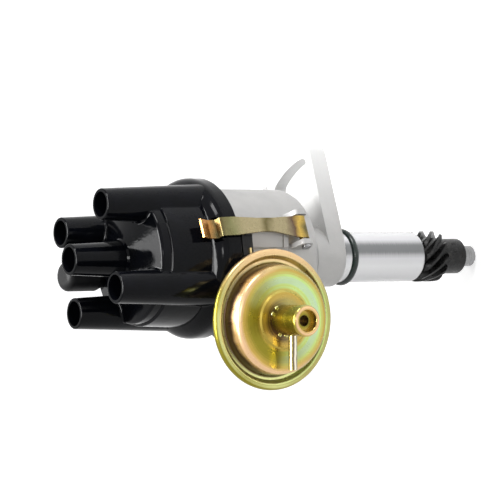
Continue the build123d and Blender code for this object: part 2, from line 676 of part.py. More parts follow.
# ---- drive shaft and what is fixed to it ----
def drive_shaft():
    """Stepped shaft with a thrust collar under the governor plate."""
    shaft = turned([
        (0, SHAFT_TIP_Z), (SHAFT_TIP_R - SHAFT_TIP_CHAMFER, SHAFT_TIP_Z),
        (SHAFT_TIP_R, SHAFT_TIP_Z + SHAFT_TIP_CHAMFER), (SHAFT_TIP_R, HUB_LOW - SLIP),
        (SHAFT_R, HUB_LOW - SLIP), (SHAFT_R, THRUST_TOP),
        (SHAFT_R + THRUST_COLLAR, THRUST_TOP), (SHAFT_R + THRUST_COLLAR, GOVERNOR_Z),
        (SHAFT_R, GOVERNOR_Z),
        (SHAFT_R, YOKE_LOW - SLIP), (SPINDLE_R, YOKE_LOW - SLIP), (SPINDLE_R, SPINDLE_TOP),
        (0, SPINDLE_TOP)])
    shaft -= rod(PLATE_SCREW_R + SEAT, SPINDLE_TOP - 8, SPINDLE_TOP + 1)
    return shaft - gear_pin(GEAR_PIN_R + SEAT)


def gear_tooth(number):
    """Plan outline of one tooth, from root to tip, as four corners."""
    pitch = 360.0 / GEAR_TEETH
    root_half = pitch * 0.36
    tip_half = pitch * 0.14
    middle = number * pitch
    return [
        polar(GEAR_ROOT_R, middle - root_half), polar(GEAR_TIP_R, middle - tip_half),
        polar(GEAR_TIP_R, middle + tip_half), polar(GEAR_ROOT_R, middle + root_half)]


def drive_gear():
    """Helical gear with a long hub, cross-pinned to the shaft."""
    corners = []
    for number in range(GEAR_TEETH):
        corners += gear_tooth(number)
    pitch_r = (GEAR_TIP_R + GEAR_ROOT_R) / 2
    twist = math.degrees(GEAR_FACE * math.tan(math.radians(GEAR_HELIX)) / pitch_r)
    section = make_face(Polyline(corners, close=True))
    teeth = Solid.extrude_linear_with_rotation(section.face(), (0, 0, 0), (0, 0, GEAR_FACE), -twist)
    teeth = Pos(0, 0, GEAR_LOW) * teeth
    blank = turned(
        [(0, GEAR_LOW), (GEAR_TIP_R, GEAR_LOW), (GEAR_TIP_R, GEAR_TOP), (0, GEAR_TOP)])
    rims = blank.edges().filter_by(GeomType.CIRCLE)
    teeth = teeth & chamfer(rims, GEAR_END_CHAMFER)
    hub = turned([(0, HUB_LOW), (HUB_R, HUB_LOW), (HUB_R, GEAR_LOW + 1), (0, GEAR_LOW + 1)],
                 [(1, HUB_EDGE)])
    gear = teeth + hub
    gear -= rod(SHAFT_R + SEAT, HUB_LOW - 1, GEAR_TOP + 1)
    return gear - gear_pin(GEAR_PIN_R + SEAT)


def gear_pin(radius):
    """Cross pin through hub and shaft."""
    pin = Rot(0, 90, 0) * rod(radius, -HUB_R + 0.1, HUB_R - 0.1)
    return Pos(0, 0, GEAR_LOW - HUB_LEN / 2) * at_angle(GEAR_PIN_ANGLE, pin)


def thrust_washers():
    """Washer under the shank's foot and washer on the upper bush."""
    lower = ring(BUSH_FLANGE_R, SHAFT_BORE_R + 0.1, -SHANK_LEN - WASHER + 0.1, -SHANK_LEN - 0.1)
    low = FLOOR_Z + BUSH_FLANGE
    upper = ring(BUSH_FLANGE_R, SHAFT_BORE_R + 0.1, low + 0.1, low + WASHER - 0.1)
    return Part() + [lower, upper]


def governor_plate():
    """Plate that carries the two flyweights."""
    plate = ring(GOVERNOR_R, SHAFT_R + SEAT, GOVERNOR_Z, GOVERNOR_Z + GOVERNOR_PLATE)
    for side in (-1, 1):
        plate -= rod(PIVOT_POST_R + SEAT, GOVERNOR_Z - 1, WEIGHT_LOW, 0, side * WEIGHT_PIVOT_R)
        hole_x = side * (SHAFT_R + THRUST_COLLAR + 2 * GOVERNOR_HOLE_R)
        plate -= rod(GOVERNOR_HOLE_R, GOVERNOR_Z - 1, WEIGHT_LOW, hole_x, 0)
    return plate


def governor_posts():
    """Pivot posts of the flyweights; the springs hook on their tops."""
    posts = []
    for side in (-1, 1):
        post = turned([
            (0, GOVERNOR_Z), (PIVOT_POST_R, GOVERNOR_Z), (PIVOT_POST_R, YOKE_LOW - 0.1),
            (SPRING_POST_R, YOKE_LOW - 0.1), (SPRING_POST_R, POST_TOP), (0, POST_TOP)])
        posts.append(Pos(0, side * WEIGHT_PIVOT_R, 0) * post)
    return Part() + posts


def flyweight():
    """Kidney-shaped weight with a pivot eye and a toe pin that drives the yoke."""
    sweep_size = WEIGHT_START - WEIGHT_END
    middle_r = (WEIGHT_OUTER_R + WEIGHT_INNER_R) / 2
    width = WEIGHT_OUTER_R - WEIGHT_INNER_R
    end_room = math.degrees(width / 2 / middle_r)
    path = CenterArc((0, 0), middle_r, WEIGHT_END + end_room, sweep_size - end_room)
    plan = SlotArc(path, width)
    plan += Pos(0, WEIGHT_PIVOT_R) * Circle(WEIGHT_EYE_R)
    plan += Pos(0, (WEIGHT_PIVOT_R + TOE_R) / 2) * Rectangle(5.0, WEIGHT_PIVOT_R - TOE_R)
    plan += Pos(0, TOE_R) * Circle(2.5)
    plan += Pos(5.5, 15.2) * Rectangle(8.0, 6.0)
    weight = Pos(0, 0, WEIGHT_LOW) * extrude(plan, WEIGHT_THICK)
    weight -= rod(PIVOT_POST_R + RUNNING, WEIGHT_LOW - 1, WEIGHT_TOP + 1, 0, WEIGHT_PIVOT_R)
    return weight + rod(TOE_PIN_R, WEIGHT_TOP, YOKE_TOP - 0.2, 0, TOE_R)


def governor_spring():
    """Tension spring from a pivot post to the yoke's spring post."""
    start = Vector(0, WEIGHT_PIVOT_R, SPRING_Z)
    end = Vector(SPRING_POST_REACH, 0, SPRING_Z)
    run = end - start
    wire = GOVERNOR_SPRING_WIRE / 2
    hook = SPRING_POST_R + GOVERNOR_SPRING_WIRE + 1.6
    body = coil(GOVERNOR_SPRING_R, 2 * wire, GOVERNOR_SPRING_TURNS, hook - wire,
                run.length - hook + wire)
    for level in (hook, run.length - hook):
        body += Pos(0, 0, level) * Rot(0, 90, 0) * rod(wire, 0, GOVERNOR_SPRING_R)
    loop_r = SPRING_POST_R + wire + 0.05
    body += rod(wire, loop_r, hook)
    body += rod(wire, run.length - hook, run.length - loop_r)
    placed = Plane(origin=start, z_dir=run.normalized()) * body
    for spot in (start, end):
        placed += Pos(*spot) * Torus(loop_r, wire)
    return placed


# ---- advance sleeve, signal rotor, rotor arm ----
def advance_sleeve():
    """Sleeve with the yoke that the flyweights' toe pins turn."""
    sleeve = rod(SLEEVE_R, YOKE_TOP - 0.5, SLEEVE_TOP)
    yoke = Rectangle(YOKE_WIDTH, 2 * YOKE_REACH) + Circle(SLEEVE_R + 2)
    yoke += Rectangle(2 * (SPRING_POST_REACH + 2.2), 5.0)
    slot_width = 2 * (TOE_PIN_R + 0.12)
    for side in (-1, 1):
        yoke -= Pos(0, side * (TOE_R + 0.2)) * Rectangle(slot_width, slot_width + 1.2)
    sleeve += Pos(0, 0, YOKE_LOW) * extrude(yoke, YOKE_PLATE)
    for side in (-1, 1):
        sleeve += rod(SPRING_POST_R, YOKE_TOP, POST_TOP, side * SPRING_POST_REACH, 0)
    sleeve -= rod(SPINDLE_R + RUNNING, YOKE_LOW - 1, SLEEVE_TOP + 1)
    return sleeve - rod(SCREW_HEAD_R + 0.3, SPINDLE_TOP - 0.1, SLEEVE_TOP + 1)


def sleeve_screw():
    """Screw in the spindle's end that keeps the sleeve on."""
    keeper = screw(PLATE_SCREW_R, SCREW_HEAD_R, 2.4, 7.5)
    return Pos(0, 0, SPINDLE_TOP) * keeper


def signal_rotor():
    """Four-toothed wheel that passes the pick-up's pole."""
    high = SIGNAL_TOP
    wheel = rod(SIGNAL_HUB_R, SIGNAL_LOW, high)
    for number in range(SIGNAL_TEETH):
        half = SIGNAL_TOOTH_WIDTH / 2
        tooth = block((SIGNAL_HUB_R - 1, SIGNAL_TIP_R + 2), (-half, half), (SIGNAL_LOW, high))
        wheel += at_angle(number * 360.0 / SIGNAL_TEETH + ROTOR_ANGLE, tooth)
    wheel &= rod(SIGNAL_TIP_R, SIGNAL_LOW, high)
    return wheel - rod(SLEEVE_R + SEAT, SIGNAL_LOW - 1, high + 1)


def rotor_arm():
    """Moulded arm that sits on the sleeve's top."""
    hub = turned([
        (0, ROTOR_LOW), (ROTOR_HUB_R, ROTOR_LOW), (ROTOR_HUB_R - 0.8, ROTOR_TOP - 3),
        (ROTOR_HUB_R - 0.8, ROTOR_TOP), (0, ROTOR_TOP)])
    arm = outline([(0, -6.5), (ROTOR_ARM_R, -5.0), (ROTOR_ARM_R, 5.0), (0, 6.5)],
                  [(1, 2.5), (2, 2.5)])
    hub += Pos(0, 0, ROTOR_TOP - 5) * extrude(arm, 5.0)
    hub += block((6.0, ROTOR_ARM_R - 4), (-1.2, 1.2), (ROTOR_TOP - 10, ROTOR_TOP - 4))
    hub += rod(ROTOR_HUB_R + 2.5, ROTOR_TOP - 5, ROTOR_TOP - 2.5)
    hub -= rod(SLEEVE_R + SEAT, ROTOR_LOW - 1, SLEEVE_TOP + 0.1)
    hub -= rod(SCREW_HEAD_R + 0.5, SLEEVE_TOP, SLEEVE_TOP + 2.0)
    return at_angle(ROTOR_ANGLE, hub)


def rotor_blade():
    """Brass strip from the carbon brush out to the spark gap."""
    half = BLADE_WIDTH / 2
    strip = block((-4.5, ROTOR_TIP_R + 1), (-half, half), (ROTOR_TOP, BLADE_TOP))
    tip = block((ROTOR_ARM_R + SEAT, ROTOR_TIP_R + 1), (-half, half), (ROTOR_TOP - 3.5, BLADE_TOP))
    blade = (strip + tip) & rod(ROTOR_TIP_R, ROTOR_TOP - 4, BLADE_TOP)
    return at_angle(ROTOR_ANGLE, blade)


# ---- base plate, pick-up plate and pick-up ----
def base_plate():
    """Fixed plate on the bowl's ledge, with the collar that the pick-up plate turns on."""
    plate = turned([
        (BASE_HOLE_R, LEDGE_Z), (BOWL_BORE_R - LOCATING, LEDGE_Z),
        (BOWL_BORE_R - LOCATING, BASE_TOP),
        (SHOULDER_R, BASE_TOP), (SHOULDER_R, BASE_TOP + SHOULDER_HEIGHT),
        (BEARING_R, BASE_TOP + SHOULDER_HEIGHT), (BEARING_R, RETAINER_LOW + RETAINER),
        (BASE_HOLE_R, RETAINER_LOW + RETAINER)])
    for angle in PLATE_SCREW_ANGLES:
        x, y = polar(PLATE_SCREW_RING, angle)
        plate -= rod(PLATE_SCREW_R + LOCATING, LEDGE_Z - 1, BASE_TOP + 1, x, y)
    return plate


def plate_retainer():
    """Snap ring that keeps the pick-up plate down."""
    keeper = ring(RETAINER_R, BEARING_R + SEAT, RETAINER_LOW, RETAINER_LOW + RETAINER)
    gap = block((BEARING_R - 2, RETAINER_R + 2), (-2.0, 2.0), (RETAINER_LOW - 1, RETAINER_LOW + 2))
    return keeper - at_angle(240.0, gap)


def base_plate_screws():
    """Three screws through the base plate."""
    screws = []
    for angle in PLATE_SCREW_ANGLES:
        x, y = polar(PLATE_SCREW_RING, angle)
        one = screw(PLATE_SCREW_R, PLATE_SCREW_HEAD_R, PLATE_SCREW_HEAD, BOSS_HEIGHT)
        screws.append(Pos(x, y, BASE_TOP) * one)
    return Part() + screws


def lug_spots():
    """Centres of the coil's and module's screws on the pick-up plate."""
    spots = []
    for angle, radius in ((COIL_ANGLE, COIL_IN_R + 1.7), (MODULE_ANGLE, MODULE_IN_R + 1.1)):
        reach = math.hypot(radius, FOOT_SCREW_Y)
        turn = math.degrees(math.atan2(FOOT_SCREW_Y, radius))
        spots += [polar(reach, angle - turn), polar(reach, angle + turn)]
    return spots


def feet(x_low):
    """Thin strip under the coil or the module, with its ends cut to the plate's edge."""
    half = FOOT_SCREW_Y + 1.2
    strip = block((x_low, x_low + 3.7), (-half, half), (PICKUP_TOP, PICKUP_TOP + FOOT))
    return strip & rod(FOOT_EDGE_R, PICKUP_TOP, SIGNAL_TOP)


def foot_holes(number):
    """Screw holes of the coil (0) or the module (1)."""
    spots = lug_spots()[2 * number:2 * number + 2]
    return [rod(FOOT_SCREW_R + SEAT, PICKUP_LOW - 1, SIGNAL_TOP, x, y) for x, y in spots]


def pickup_plate():
    """Plate that the vacuum unit turns, with the post for the pull rod."""
    plate = ring(PICKUP_PLATE_R, BEARING_R + RUNNING, PICKUP_LOW, PICKUP_TOP)
    angle = math.degrees(math.atan2(LINK_POST_Y, LINK_POST_X))
    ear = block((LINK_RADIUS - 5.0, LINK_RADIUS + 2.2), (-3.5, 3.5), (PICKUP_LOW, PICKUP_TOP))
    plate += at_angle(angle, ear)
    plate -= foot_holes(0) + foot_holes(1)
    post = rod(LINK_POST_R, PICKUP_TOP, VACUUM_Z + 2.0, LINK_POST_X, LINK_POST_Y)
    return plate + post


def pickup_coil():
    """Bobbin with flanges and mounting feet."""
    low = PICKUP_TOP
    high = SIGNAL_TOP + 0.5
    half = COIL_CHEEK_HALF
    cheek_a = block((COIL_IN_R, COIL_IN_R + COIL_CHEEK), (-half, half), (low, high))
    cheek_b = block((COIL_OUT_R - COIL_CHEEK, COIL_OUT_R), (0.6 - half, half - 0.6), (low, high))
    winding = Pos(0, 0, (low + high) / 2) * Rot(0, 90, 0) * rod(COIL_R, COIL_IN_R, COIL_OUT_R)
    bobbin = cheek_a + cheek_b + winding + feet(COIL_IN_R + 2.0)
    bobbin -= core_bar(SEAT)
    return at_angle(COIL_ANGLE, bobbin) - foot_holes(0)


def core_bar(gap):
    """Soft-iron bar through the bobbin, larger by a gap for its hole."""
    middle = (SIGNAL_LOW + SIGNAL_TOP) / 2
    half = CORE_HALF + gap
    end_r = MAGNET_OUT_R - 0.6
    return block((SIGNAL_TIP_R + AIR_GAP, end_r), (-half, half), (middle - half, middle + half))


def pickup_core():
    """Pole piece and magnet behind the bobbin."""
    low = PICKUP_TOP
    high = SIGNAL_TOP + 0.5
    half = 2 * CORE_HALF
    magnet = block((MAGNET_IN_R, MAGNET_OUT_R), (-half, half), (low, high))
    pole = (core_bar(0) + magnet) - rod(SIGNAL_TIP_R + AIR_GAP, low - 1, high + 1)
    return at_angle(COIL_ANGLE, pole)


def igniter_module():
    """Potted electronics on the pick-up plate."""
    low = PICKUP_TOP
    half = MODULE_HALF
    case = block((MODULE_IN_R, MODULE_OUT_R), (-half, half), (low, low + MODULE_HEIGHT))
    case = fillet(case.edges().filter_by(Axis.Z), 1.2)
    return at_angle(MODULE_ANGLE, case + feet(MODULE_IN_R + 1.4)) - foot_holes(1)


def pickup_screws():
    """Four small screws that hold coil and module."""
    small = screw(FOOT_SCREW_R, FOOT_SCREW_HEAD_R, FOOT, FOOT + PICKUP_PLATE)
    spots = [Pos(x, y, PICKUP_TOP + FOOT) * small for x, y in lug_spots()]
    return Part() + spots


# ---- vacuum unit ----
def vacuum_cover():
    """Front shell: rolled bead, valley, deep step and a face with a low boss."""
    sheet = CAN_SHEET
    hole_r = NIPPLE_R - 2.0
    valley_r = CAN_STEP_R + CAN_VALLEY_WIDTH
    lip_r = CAN_SEAT_R - CAN_HEM_LIP
    hem_x = DIAPHRAGM_X - sheet
    rear_x = hem_x - CAN_HEM + sheet
    points = [
        (hole_r, CAN_BOSS_X), (CAN_BOSS_R - 0.4, CAN_BOSS_X), (CAN_BOSS_R + 0.4, CAN_FACE_X),
        (CAN_FACE_R, CAN_FACE_X), (CAN_STEP_R, CAN_VALLEY_X), (valley_r, CAN_VALLEY_X),
        (CAN_R - CAN_BEAD_WIDTH, CAN_BEAD_X), (CAN_R, CAN_BEAD_X), (CAN_R, CAN_VALLEY_X),
        (CAN_HEM_R, rear_x), (lip_r, rear_x), (lip_r, hem_x), (CAN_SEAT_R, hem_x),
        (CAN_SEAT_R, CAN_VALLEY_X - sheet), (CAN_STEP_R - sheet, CAN_VALLEY_X - sheet),
        (CAN_FACE_R - sheet, CAN_FACE_X - sheet), (hole_r, CAN_FACE_X - sheet)]
    rounds = [(3, 2.4), (4, 0.9), (5, 0.7), (6, 1.3), (7, 1.6), (8, 1.0), (9, 0.3)]
    return on_vacuum_axis(turned(points, rounds))


def vacuum_back_shell():
    """Rear shell with a flat that the bracket tube is joined to."""
    sheet = CAN_SHEET
    edge_r = CAN_SEAT_R - SEAT
    points = [
        (BRACKET_BORE_R, CAN_BACK_X), (CAN_BACK_R, CAN_BACK_X), (CAN_R - 6.0, DIAPHRAGM_X - sheet),
        (edge_r, DIAPHRAGM_X - sheet), (edge_r, DIAPHRAGM_X), (CAN_R - 6.4, DIAPHRAGM_X),
        (CAN_BACK_R - 0.5, CAN_BACK_X + sheet), (BRACKET_BORE_R, CAN_BACK_X + sheet)]
    return on_vacuum_axis(turned(points, [(1, 2.0)]))


def vacuum_bracket():
    """Tube and flange that carry the can from the bowl's pad."""
    tube_end = PAD_FACE_X + BRACKET_SHEET
    tube = turned([
        (BRACKET_BORE_R, PAD_FACE_X), (BRACKET_TUBE_R, PAD_FACE_X),
        (BRACKET_TUBE_R, CAN_BACK_X), (BRACKET_BORE_R, CAN_BACK_X)])
    flange = RectangleRounded(2 * PAD_HALF_Z, 2 * PAD_HALF_Y, 3.0)
    plate = Pos(0, 0, PAD_FACE_X) * extrude(flange, BRACKET_SHEET)
    plate -= rod(BRACKET_BORE_R, PAD_FACE_X - 1, tube_end + 1)
    bracket = tube + plate
    for side in (-1, 1):
        y = side * BRACKET_SCREW_Y
        bracket -= rod(PLATE_SCREW_R + LOCATING, PAD_FACE_X - 1, tube_end + 1, 0, y)
        bracket -= rod(PLATE_SCREW_HEAD_R + 0.2, tube_end, tube_end + 3, 0, y)
    return on_vacuum_axis(bracket)


def bracket_screws():
    """Two screws that hold the bracket to the pad."""
    length = BRACKET_SHEET + PAD_SCREW_DEPTH - 0.5
    one = screw(PLATE_SCREW_R, PLATE_SCREW_HEAD_R, PLATE_SCREW_HEAD, length)
    screws = []
    for side in (-1, 1):
        spot = Pos(0, side * BRACKET_SCREW_Y, PAD_FACE_X + BRACKET_SHEET)
        screws.append(on_vacuum_axis(spot * one))
    return Part() + screws


def vacuum_nipple():
    """Plug on the cover's face with a stepped recess and a side port."""
    recess_x = NIPPLE_TIP_X - NIPPLE_RECESS_DEPTH
    bottom_x = recess_x - NIPPLE_BORE_DEPTH
    stem_r = NIPPLE_R - NIPPLE_HEAD_STEP
    head_x = NIPPLE_TIP_X - NIPPLE_HEAD
    points = [
        (0, CAN_BOSS_X), (stem_r, CAN_BOSS_X), (stem_r, head_x - 2 * NIPPLE_HEAD_STEP),
        (NIPPLE_R, head_x), (NIPPLE_R, NIPPLE_TIP_X), (NIPPLE_RECESS_R, NIPPLE_TIP_X),
        (NIPPLE_RECESS_R - 0.6, recess_x), (NIPPLE_BORE_R, recess_x),
        (NIPPLE_BORE_R, bottom_x), (0, bottom_x)]
    plug = on_vacuum_axis(turned(points, [(4, 1.5), (5, 0.5)]))
    plug -= spigot_tube(SPIGOT_ROOT_R + SEAT, SPIGOT_ROOT_Y)
    bore = on_vacuum_axis(rod(SPIGOT_BORE_R, CAN_BOSS_X - 1, SPIGOT_X))
    port = spigot_tube(SPIGOT_BORE_R, VACUUM_Y)
    return plug - bore - port


def spigot_tube(radius, start_y):
    """Round bar along -Y on the spigot's axis."""
    length = start_y - SPIGOT_END_Y
    return Pos(SPIGOT_X, SPIGOT_END_Y, VACUUM_Z) * Rot(-90, 0, 0) * rod(radius, 0, length)


def hose_spigot():
    """Thin tube that the vacuum hose slides over."""
    root = spigot_tube(SPIGOT_ROOT_R, SPIGOT_ROOT_Y)
    tube = root + spigot_tube(SPIGOT_R, VACUUM_Y - NIPPLE_R)
    return tube - spigot_tube(SPIGOT_BORE_R, VACUUM_Y)


def diaphragm():
    """Rubber sheet clamped in the rim, with one roll round the cup."""
    x = DIAPHRAGM_X
    steps = [(0, 0), (2.0, 0), (4.5, ROLL_DEPTH), (9.0, ROLL_DEPTH), (11.8, 0)]
    back = [(CUP_R + out, x - drop) for out, drop in steps]
    front = [(radius + 0.2, level + DIAPHRAGM) for radius, level in back[1:]]
    rim = [(DIAPHRAGM_R, x), (DIAPHRAGM_R, x + DIAPHRAGM)]
    points = back + rim + front[::-1] + [(CUP_R, x + DIAPHRAGM)]
    return on_vacuum_axis(turned(points))


def diaphragm_cup():
    """Pressed washers on both sides of the diaphragm's middle."""
    x = DIAPHRAGM_X
    cup = turned([
        (0, x - CUP_SHEET), (CUP_R - CUP_RIM_WIDTH, x - CUP_SHEET), (CUP_R - CUP_RIM_WIDTH, x),
        (CUP_R, x), (CUP_R, x + DIAPHRAGM + CUP_SHEET),
        (0, x + DIAPHRAGM + CUP_SHEET)])
    return on_vacuum_axis(cup)


def pull_rod():
    """Flat rod from the cup to an eye on the pick-up plate's post."""
    low = VACUUM_Z - ROD_THICK / 2
    half = ROD_WIDTH / 2
    outer_y = VACUUM_Y - half
    inner_y = VACUUM_Y + half
    end_x = DIAPHRAGM_X - CUP_SHEET
    arm_y = (LINK_POST_Y - half, LINK_POST_Y + half + 0.6)
    joggle_x = LINK_POST_X + 5.0
    plan = outline([
        (joggle_x + 3.0, outer_y), (end_x, outer_y), (end_x, inner_y), (joggle_x + 6.5, inner_y),
        (joggle_x, arm_y[1]), (joggle_x - 1.5, arm_y[0])])
    plan += Pos(LINK_POST_X, LINK_POST_Y) * Circle(LINK_POST_R + 1.6)
    plan += outline([
        (LINK_POST_X, arm_y[1]), (joggle_x + 0.2, arm_y[1]), (joggle_x + 0.2, arm_y[0]),
        (LINK_POST_X, arm_y[0])])
    eye = SlotCenterToCenter(0.3, 2 * (LINK_POST_R + 0.06), rotation=90)
    plan -= Pos(LINK_POST_X, LINK_POST_Y) * eye
    return Pos(0, 0, low) * extrude(plan, ROD_THICK)


def vacuum_spring():
    """Coil between the diaphragm cup and the cover's face."""
    low = DIAPHRAGM_X + DIAPHRAGM + CUP_SHEET + 0.05
    high = CAN_FACE_X - CAN_SHEET - 0.05
    spring = coil(VACUUM_SPRING_R, VACUUM_SPRING_WIRE, VACUUM_SPRING_TURNS, low, high)
    return on_vacuum_axis(spring)


# ---- cap ----
def tower(tip_z, foot_z):
    """Solid tower with moulding draft and a softened tip, about Z."""
    foot_r = TOWER_TIP_R + TOWER_DRAFT * (tip_z - foot_z)
    return turned([(0, foot_z), (foot_r, foot_z), (TOWER_TIP_R, tip_z), (0, tip_z)], [(2, 0.6)])


def tower_bore(tip_z, shelf_z):
    """Lead socket down a tower."""
    return rod(TOWER_BORE_R, shelf_z, tip_z + 1)


def cap_profile():
    """Outer form of the cap without its towers."""
    crown = [
        (0, CAP_BASE), (SKIRT_R, CAP_BASE), (SKIRT_R, SKIRT_SHOULDER_Z)]
    rise = math.sqrt(SKIRT_SHOULDER_R ** 2 - (BODY_BASE_R - SKIRT_R + SKIRT_SHOULDER_R) ** 2)
    top_of_arc = (BODY_BASE_R, SKIRT_SHOULDER_Z + rise)
    middle = polar(SKIRT_SHOULDER_R, 40.0)
    arc = ThreePointArc(
        crown[-1], (SKIRT_R - SKIRT_SHOULDER_R + middle[0], SKIRT_SHOULDER_Z + middle[1]),
        top_of_arc)
    rest = [
        top_of_arc, (BODY_TOP_R, CROWN_STEP_Z), (CROWN_R + 0.2, CROWN_STEP_Z + 0.4),
        (CROWN_R, CROWN_Z), (CENTRE_COLLAR_R, CROWN_TOP),
        (CENTRE_COLLAR_R - 0.6, CROWN_TOP + CENTRE_COLLAR), (0, CROWN_TOP + CENTRE_COLLAR),
        (0, CAP_BASE)]
    face = make_face([Polyline(crown), arc, Polyline(rest)])
    for spot, radius in (((CROWN_R, CROWN_Z), 1.6), ((BODY_TOP_R, CROWN_STEP_Z), 0.7),
                         ((SKIRT_R, CAP_BASE), 0.6)):
        face = fillet(face.vertices().sort_by_distance(Vector(*spot))[0], radius)
    return revolve(Plane.XZ * face, Axis.Z)


def clip_seat(angle, low, high):
    """Block on the cap's shoulder: the lug a clip presses on, or the pocket over it."""
    half = CLIP_SEAT_WIDTH / 2
    inner_r = BODY_BASE_R + 1.2
    seat = block((inner_r, SKIRT_R - 0.7), (-half, half), (low, high))
    return at_angle(angle, fillet(seat.edges().filter_by(Axis.Z), 1.2))


def on_flute(edge):
    """True for an edge where a ring tower's cone runs out of the cap's body."""
    middle = edge @ 0.5
    if middle.Z > TOWER_TIP_Z - 1.0:
        return False
    cone_r = TOWER_TIP_R + TOWER_DRAFT * (TOWER_TIP_Z - middle.Z)
    axes = [polar(TOWER_RING_R, angle) for angle in TOWER_ANGLES]
    off = [abs(math.hypot(middle.X - x, middle.Y - y) - cone_r) for x, y in axes]
    return min(off) < 0.05


def cap_form():
    """The cap's outside with its four flutes, their corners softened."""
    form = cap_profile()
    for angle in TOWER_ANGLES:
        form += at_angle(angle, Pos(TOWER_RING_R, 0, 0) * tower(TOWER_TIP_Z, TOWER_FOOT_Z))
    form &= rod(SKIRT_R, CAP_BASE, CENTRE_TIP_Z + 1)
    corners = [edge for edge in form.edges() if on_flute(edge)]
    return fillet(corners, FLUTE_FILLET)


def distributor_cap():
    """Moulded cap: skirt, fluted body, four ring towers, centre tower and vent stub."""
    cap = cap_form()
    cap += tower(CENTRE_TIP_Z, CROWN_TOP - 6)
    for angle in CLIP_ANGLES:
        cap += clip_seat(angle, CAP_BASE + 2, CLIP_LUG_TOP)
        cap -= clip_seat(angle, CLIP_LUG_TOP, CROWN_STEP_Z)
    x, y = polar(VENT_RING_R, VENT_ANGLE)
    cap -= rod(BREATHER_NECK_R + 1.2, VENT_SEAT_Z, CENTRE_TIP_Z, x, y)
    cap -= rod(BREATHER_R + 0.6, BREATHER_NECK_TOP + 1.6, CENTRE_TIP_Z, x, y)
    cap += rod(VENT_STUB_R, CROWN_Z - 4, VENT_STUB_TOP, x, y)
    lip_low = CAP_BASE - LIP_DEPTH
    cap += ring(LIP_OUTER_R, LIP_INNER_R, lip_low, CAP_BASE + 1)
    cap -= turned([
        (0, lip_low - 1), (LIP_INNER_R, lip_low - 1), (CAP_BORE_R, CAP_BASE),
        (CAP_BORE_R, CAP_CEILING), (0, CAP_CEILING)], [(3, 3.0)])
    cap += rod(CENTRE_INSERT_R + 3.0, CENTRE_INSERT_LOW, CAP_CEILING + 1)
    for angle in TOWER_ANGLES:
        bore = tower_bore(TOWER_TIP_Z, TOWER_SHELF_Z)
        cap -= at_angle(angle, Pos(TOWER_RING_R, 0, 0) * bore)
        cap -= tower_terminal(angle, SEAT)
    cap -= tower_bore(CENTRE_TIP_Z, CENTRE_SHELF_Z)
    insert_top = CENTRE_SHELF_Z - CENTRE_INSERT_TOP
    cap -= rod(CENTRE_INSERT_R + SEAT, CENTRE_INSERT_LOW - 1, insert_top)
    cap -= rod(TERMINAL_R + SEAT, insert_top - 1, CENTRE_SHELF_Z + 1)
    return cap - rod(VENT_HOLE_R, CAP_CEILING - 4, VENT_STUB_TOP + 1, x, y)


def tower_terminal(angle, gap=0.0):
    """Pin in a ring tower with its contact foot inside the cap."""
    half = CONTACT_WIDTH / 2 + gap
    foot = block((CONTACT_R, TOWER_RING_R + 1.5 + gap), (-half, half),
                 (CONTACT_LOW - gap, CONTACT_LOW + CONTACT_HEIGHT + gap))
    pin = rod(TERMINAL_R + gap, CONTACT_LOW + CONTACT_HEIGHT - 1, TOWER_SHELF_Z + gap, TOWER_RING_R)
    return at_angle(angle, foot + pin)


def tower_terminals():
    """The four ring terminals."""
    return Part() + [tower_terminal(angle) for angle in TOWER_ANGLES]


def centre_terminal():
    """Centre contact with the guide bore of the carbon brush."""
    top = CENTRE_SHELF_Z - CENTRE_INSERT_TOP
    insert = turned([
        (0, CENTRE_INSERT_LOW), (CENTRE_INSERT_R, CENTRE_INSERT_LOW), (CENTRE_INSERT_R, top),
        (TERMINAL_R, top), (TERMINAL_R, CENTRE_SHELF_Z), (0, CENTRE_SHELF_Z)])
    bore_top = CENTRE_SHELF_Z - BRUSH_BORE_TOP
    return insert - rod(BRUSH_R + RUNNING, CENTRE_INSERT_LOW - 1, bore_top)


def carbon_brush():
    """Sprung carbon pencil that rides on the rotor blade."""
    points = [(0, BRUSH_LOW), (BRUSH_R, BRUSH_LOW), (BRUSH_R, BRUSH_TOP), (0, BRUSH_TOP)]
    return turned(points, [(1, 0.5)])


def brush_spring():
    """Coil behind the carbon brush."""
    high = CENTRE_SHELF_Z - BRUSH_BORE_TOP
    return coil(BRUSH_SPRING_R, BRUSH_SPRING_WIRE, BRUSH_SPRING_TURNS, BRUSH_TOP + 0.03, high - 0.03)


def breather_cap():
    """Rubber cover on the vent stub, with a rounded head and a narrower neck."""
    neck_low = VENT_SEAT_Z + 0.05
    bore_r = VENT_STUB_R + SEAT
    points = [
        (bore_r, neck_low), (BREATHER_NECK_R, neck_low), (BREATHER_NECK_R + 0.5, BREATHER_NECK_TOP),
        (BREATHER_R, BREATHER_NECK_TOP + 3), (BREATHER_R, TOWER_TIP_Z), (0, TOWER_TIP_Z),
        (0, VENT_STUB_TOP + BREATHER_ROOF), (bore_r, VENT_STUB_TOP + BREATHER_ROOF)]
    x, y = polar(VENT_RING_R, VENT_ANGLE)
    return Pos(x, y, 0) * turned(points, [(4, 3.5), (3, 2.0)])


def cap_seal():
    """Flat gasket between the bowl's rim and the cap."""
    return ring(BOWL_RIM_R - SEAL_LAP, SEAL_INNER_R, RIM_Z, CAP_BASE)


# ---- clips ----
def clip_pin(angle, radius=CLIP_PIN_R):
    """Hinge pin of a clip, tangential to the bowl."""
    half = LUG_GAP / 2 + LUG_THICK + 0.6
    pin = Rot(90, 0, 0) * rod(radius, -half, half)
    return at_angle(angle, Pos(HINGE_R, 0, HINGE_Z) * pin)


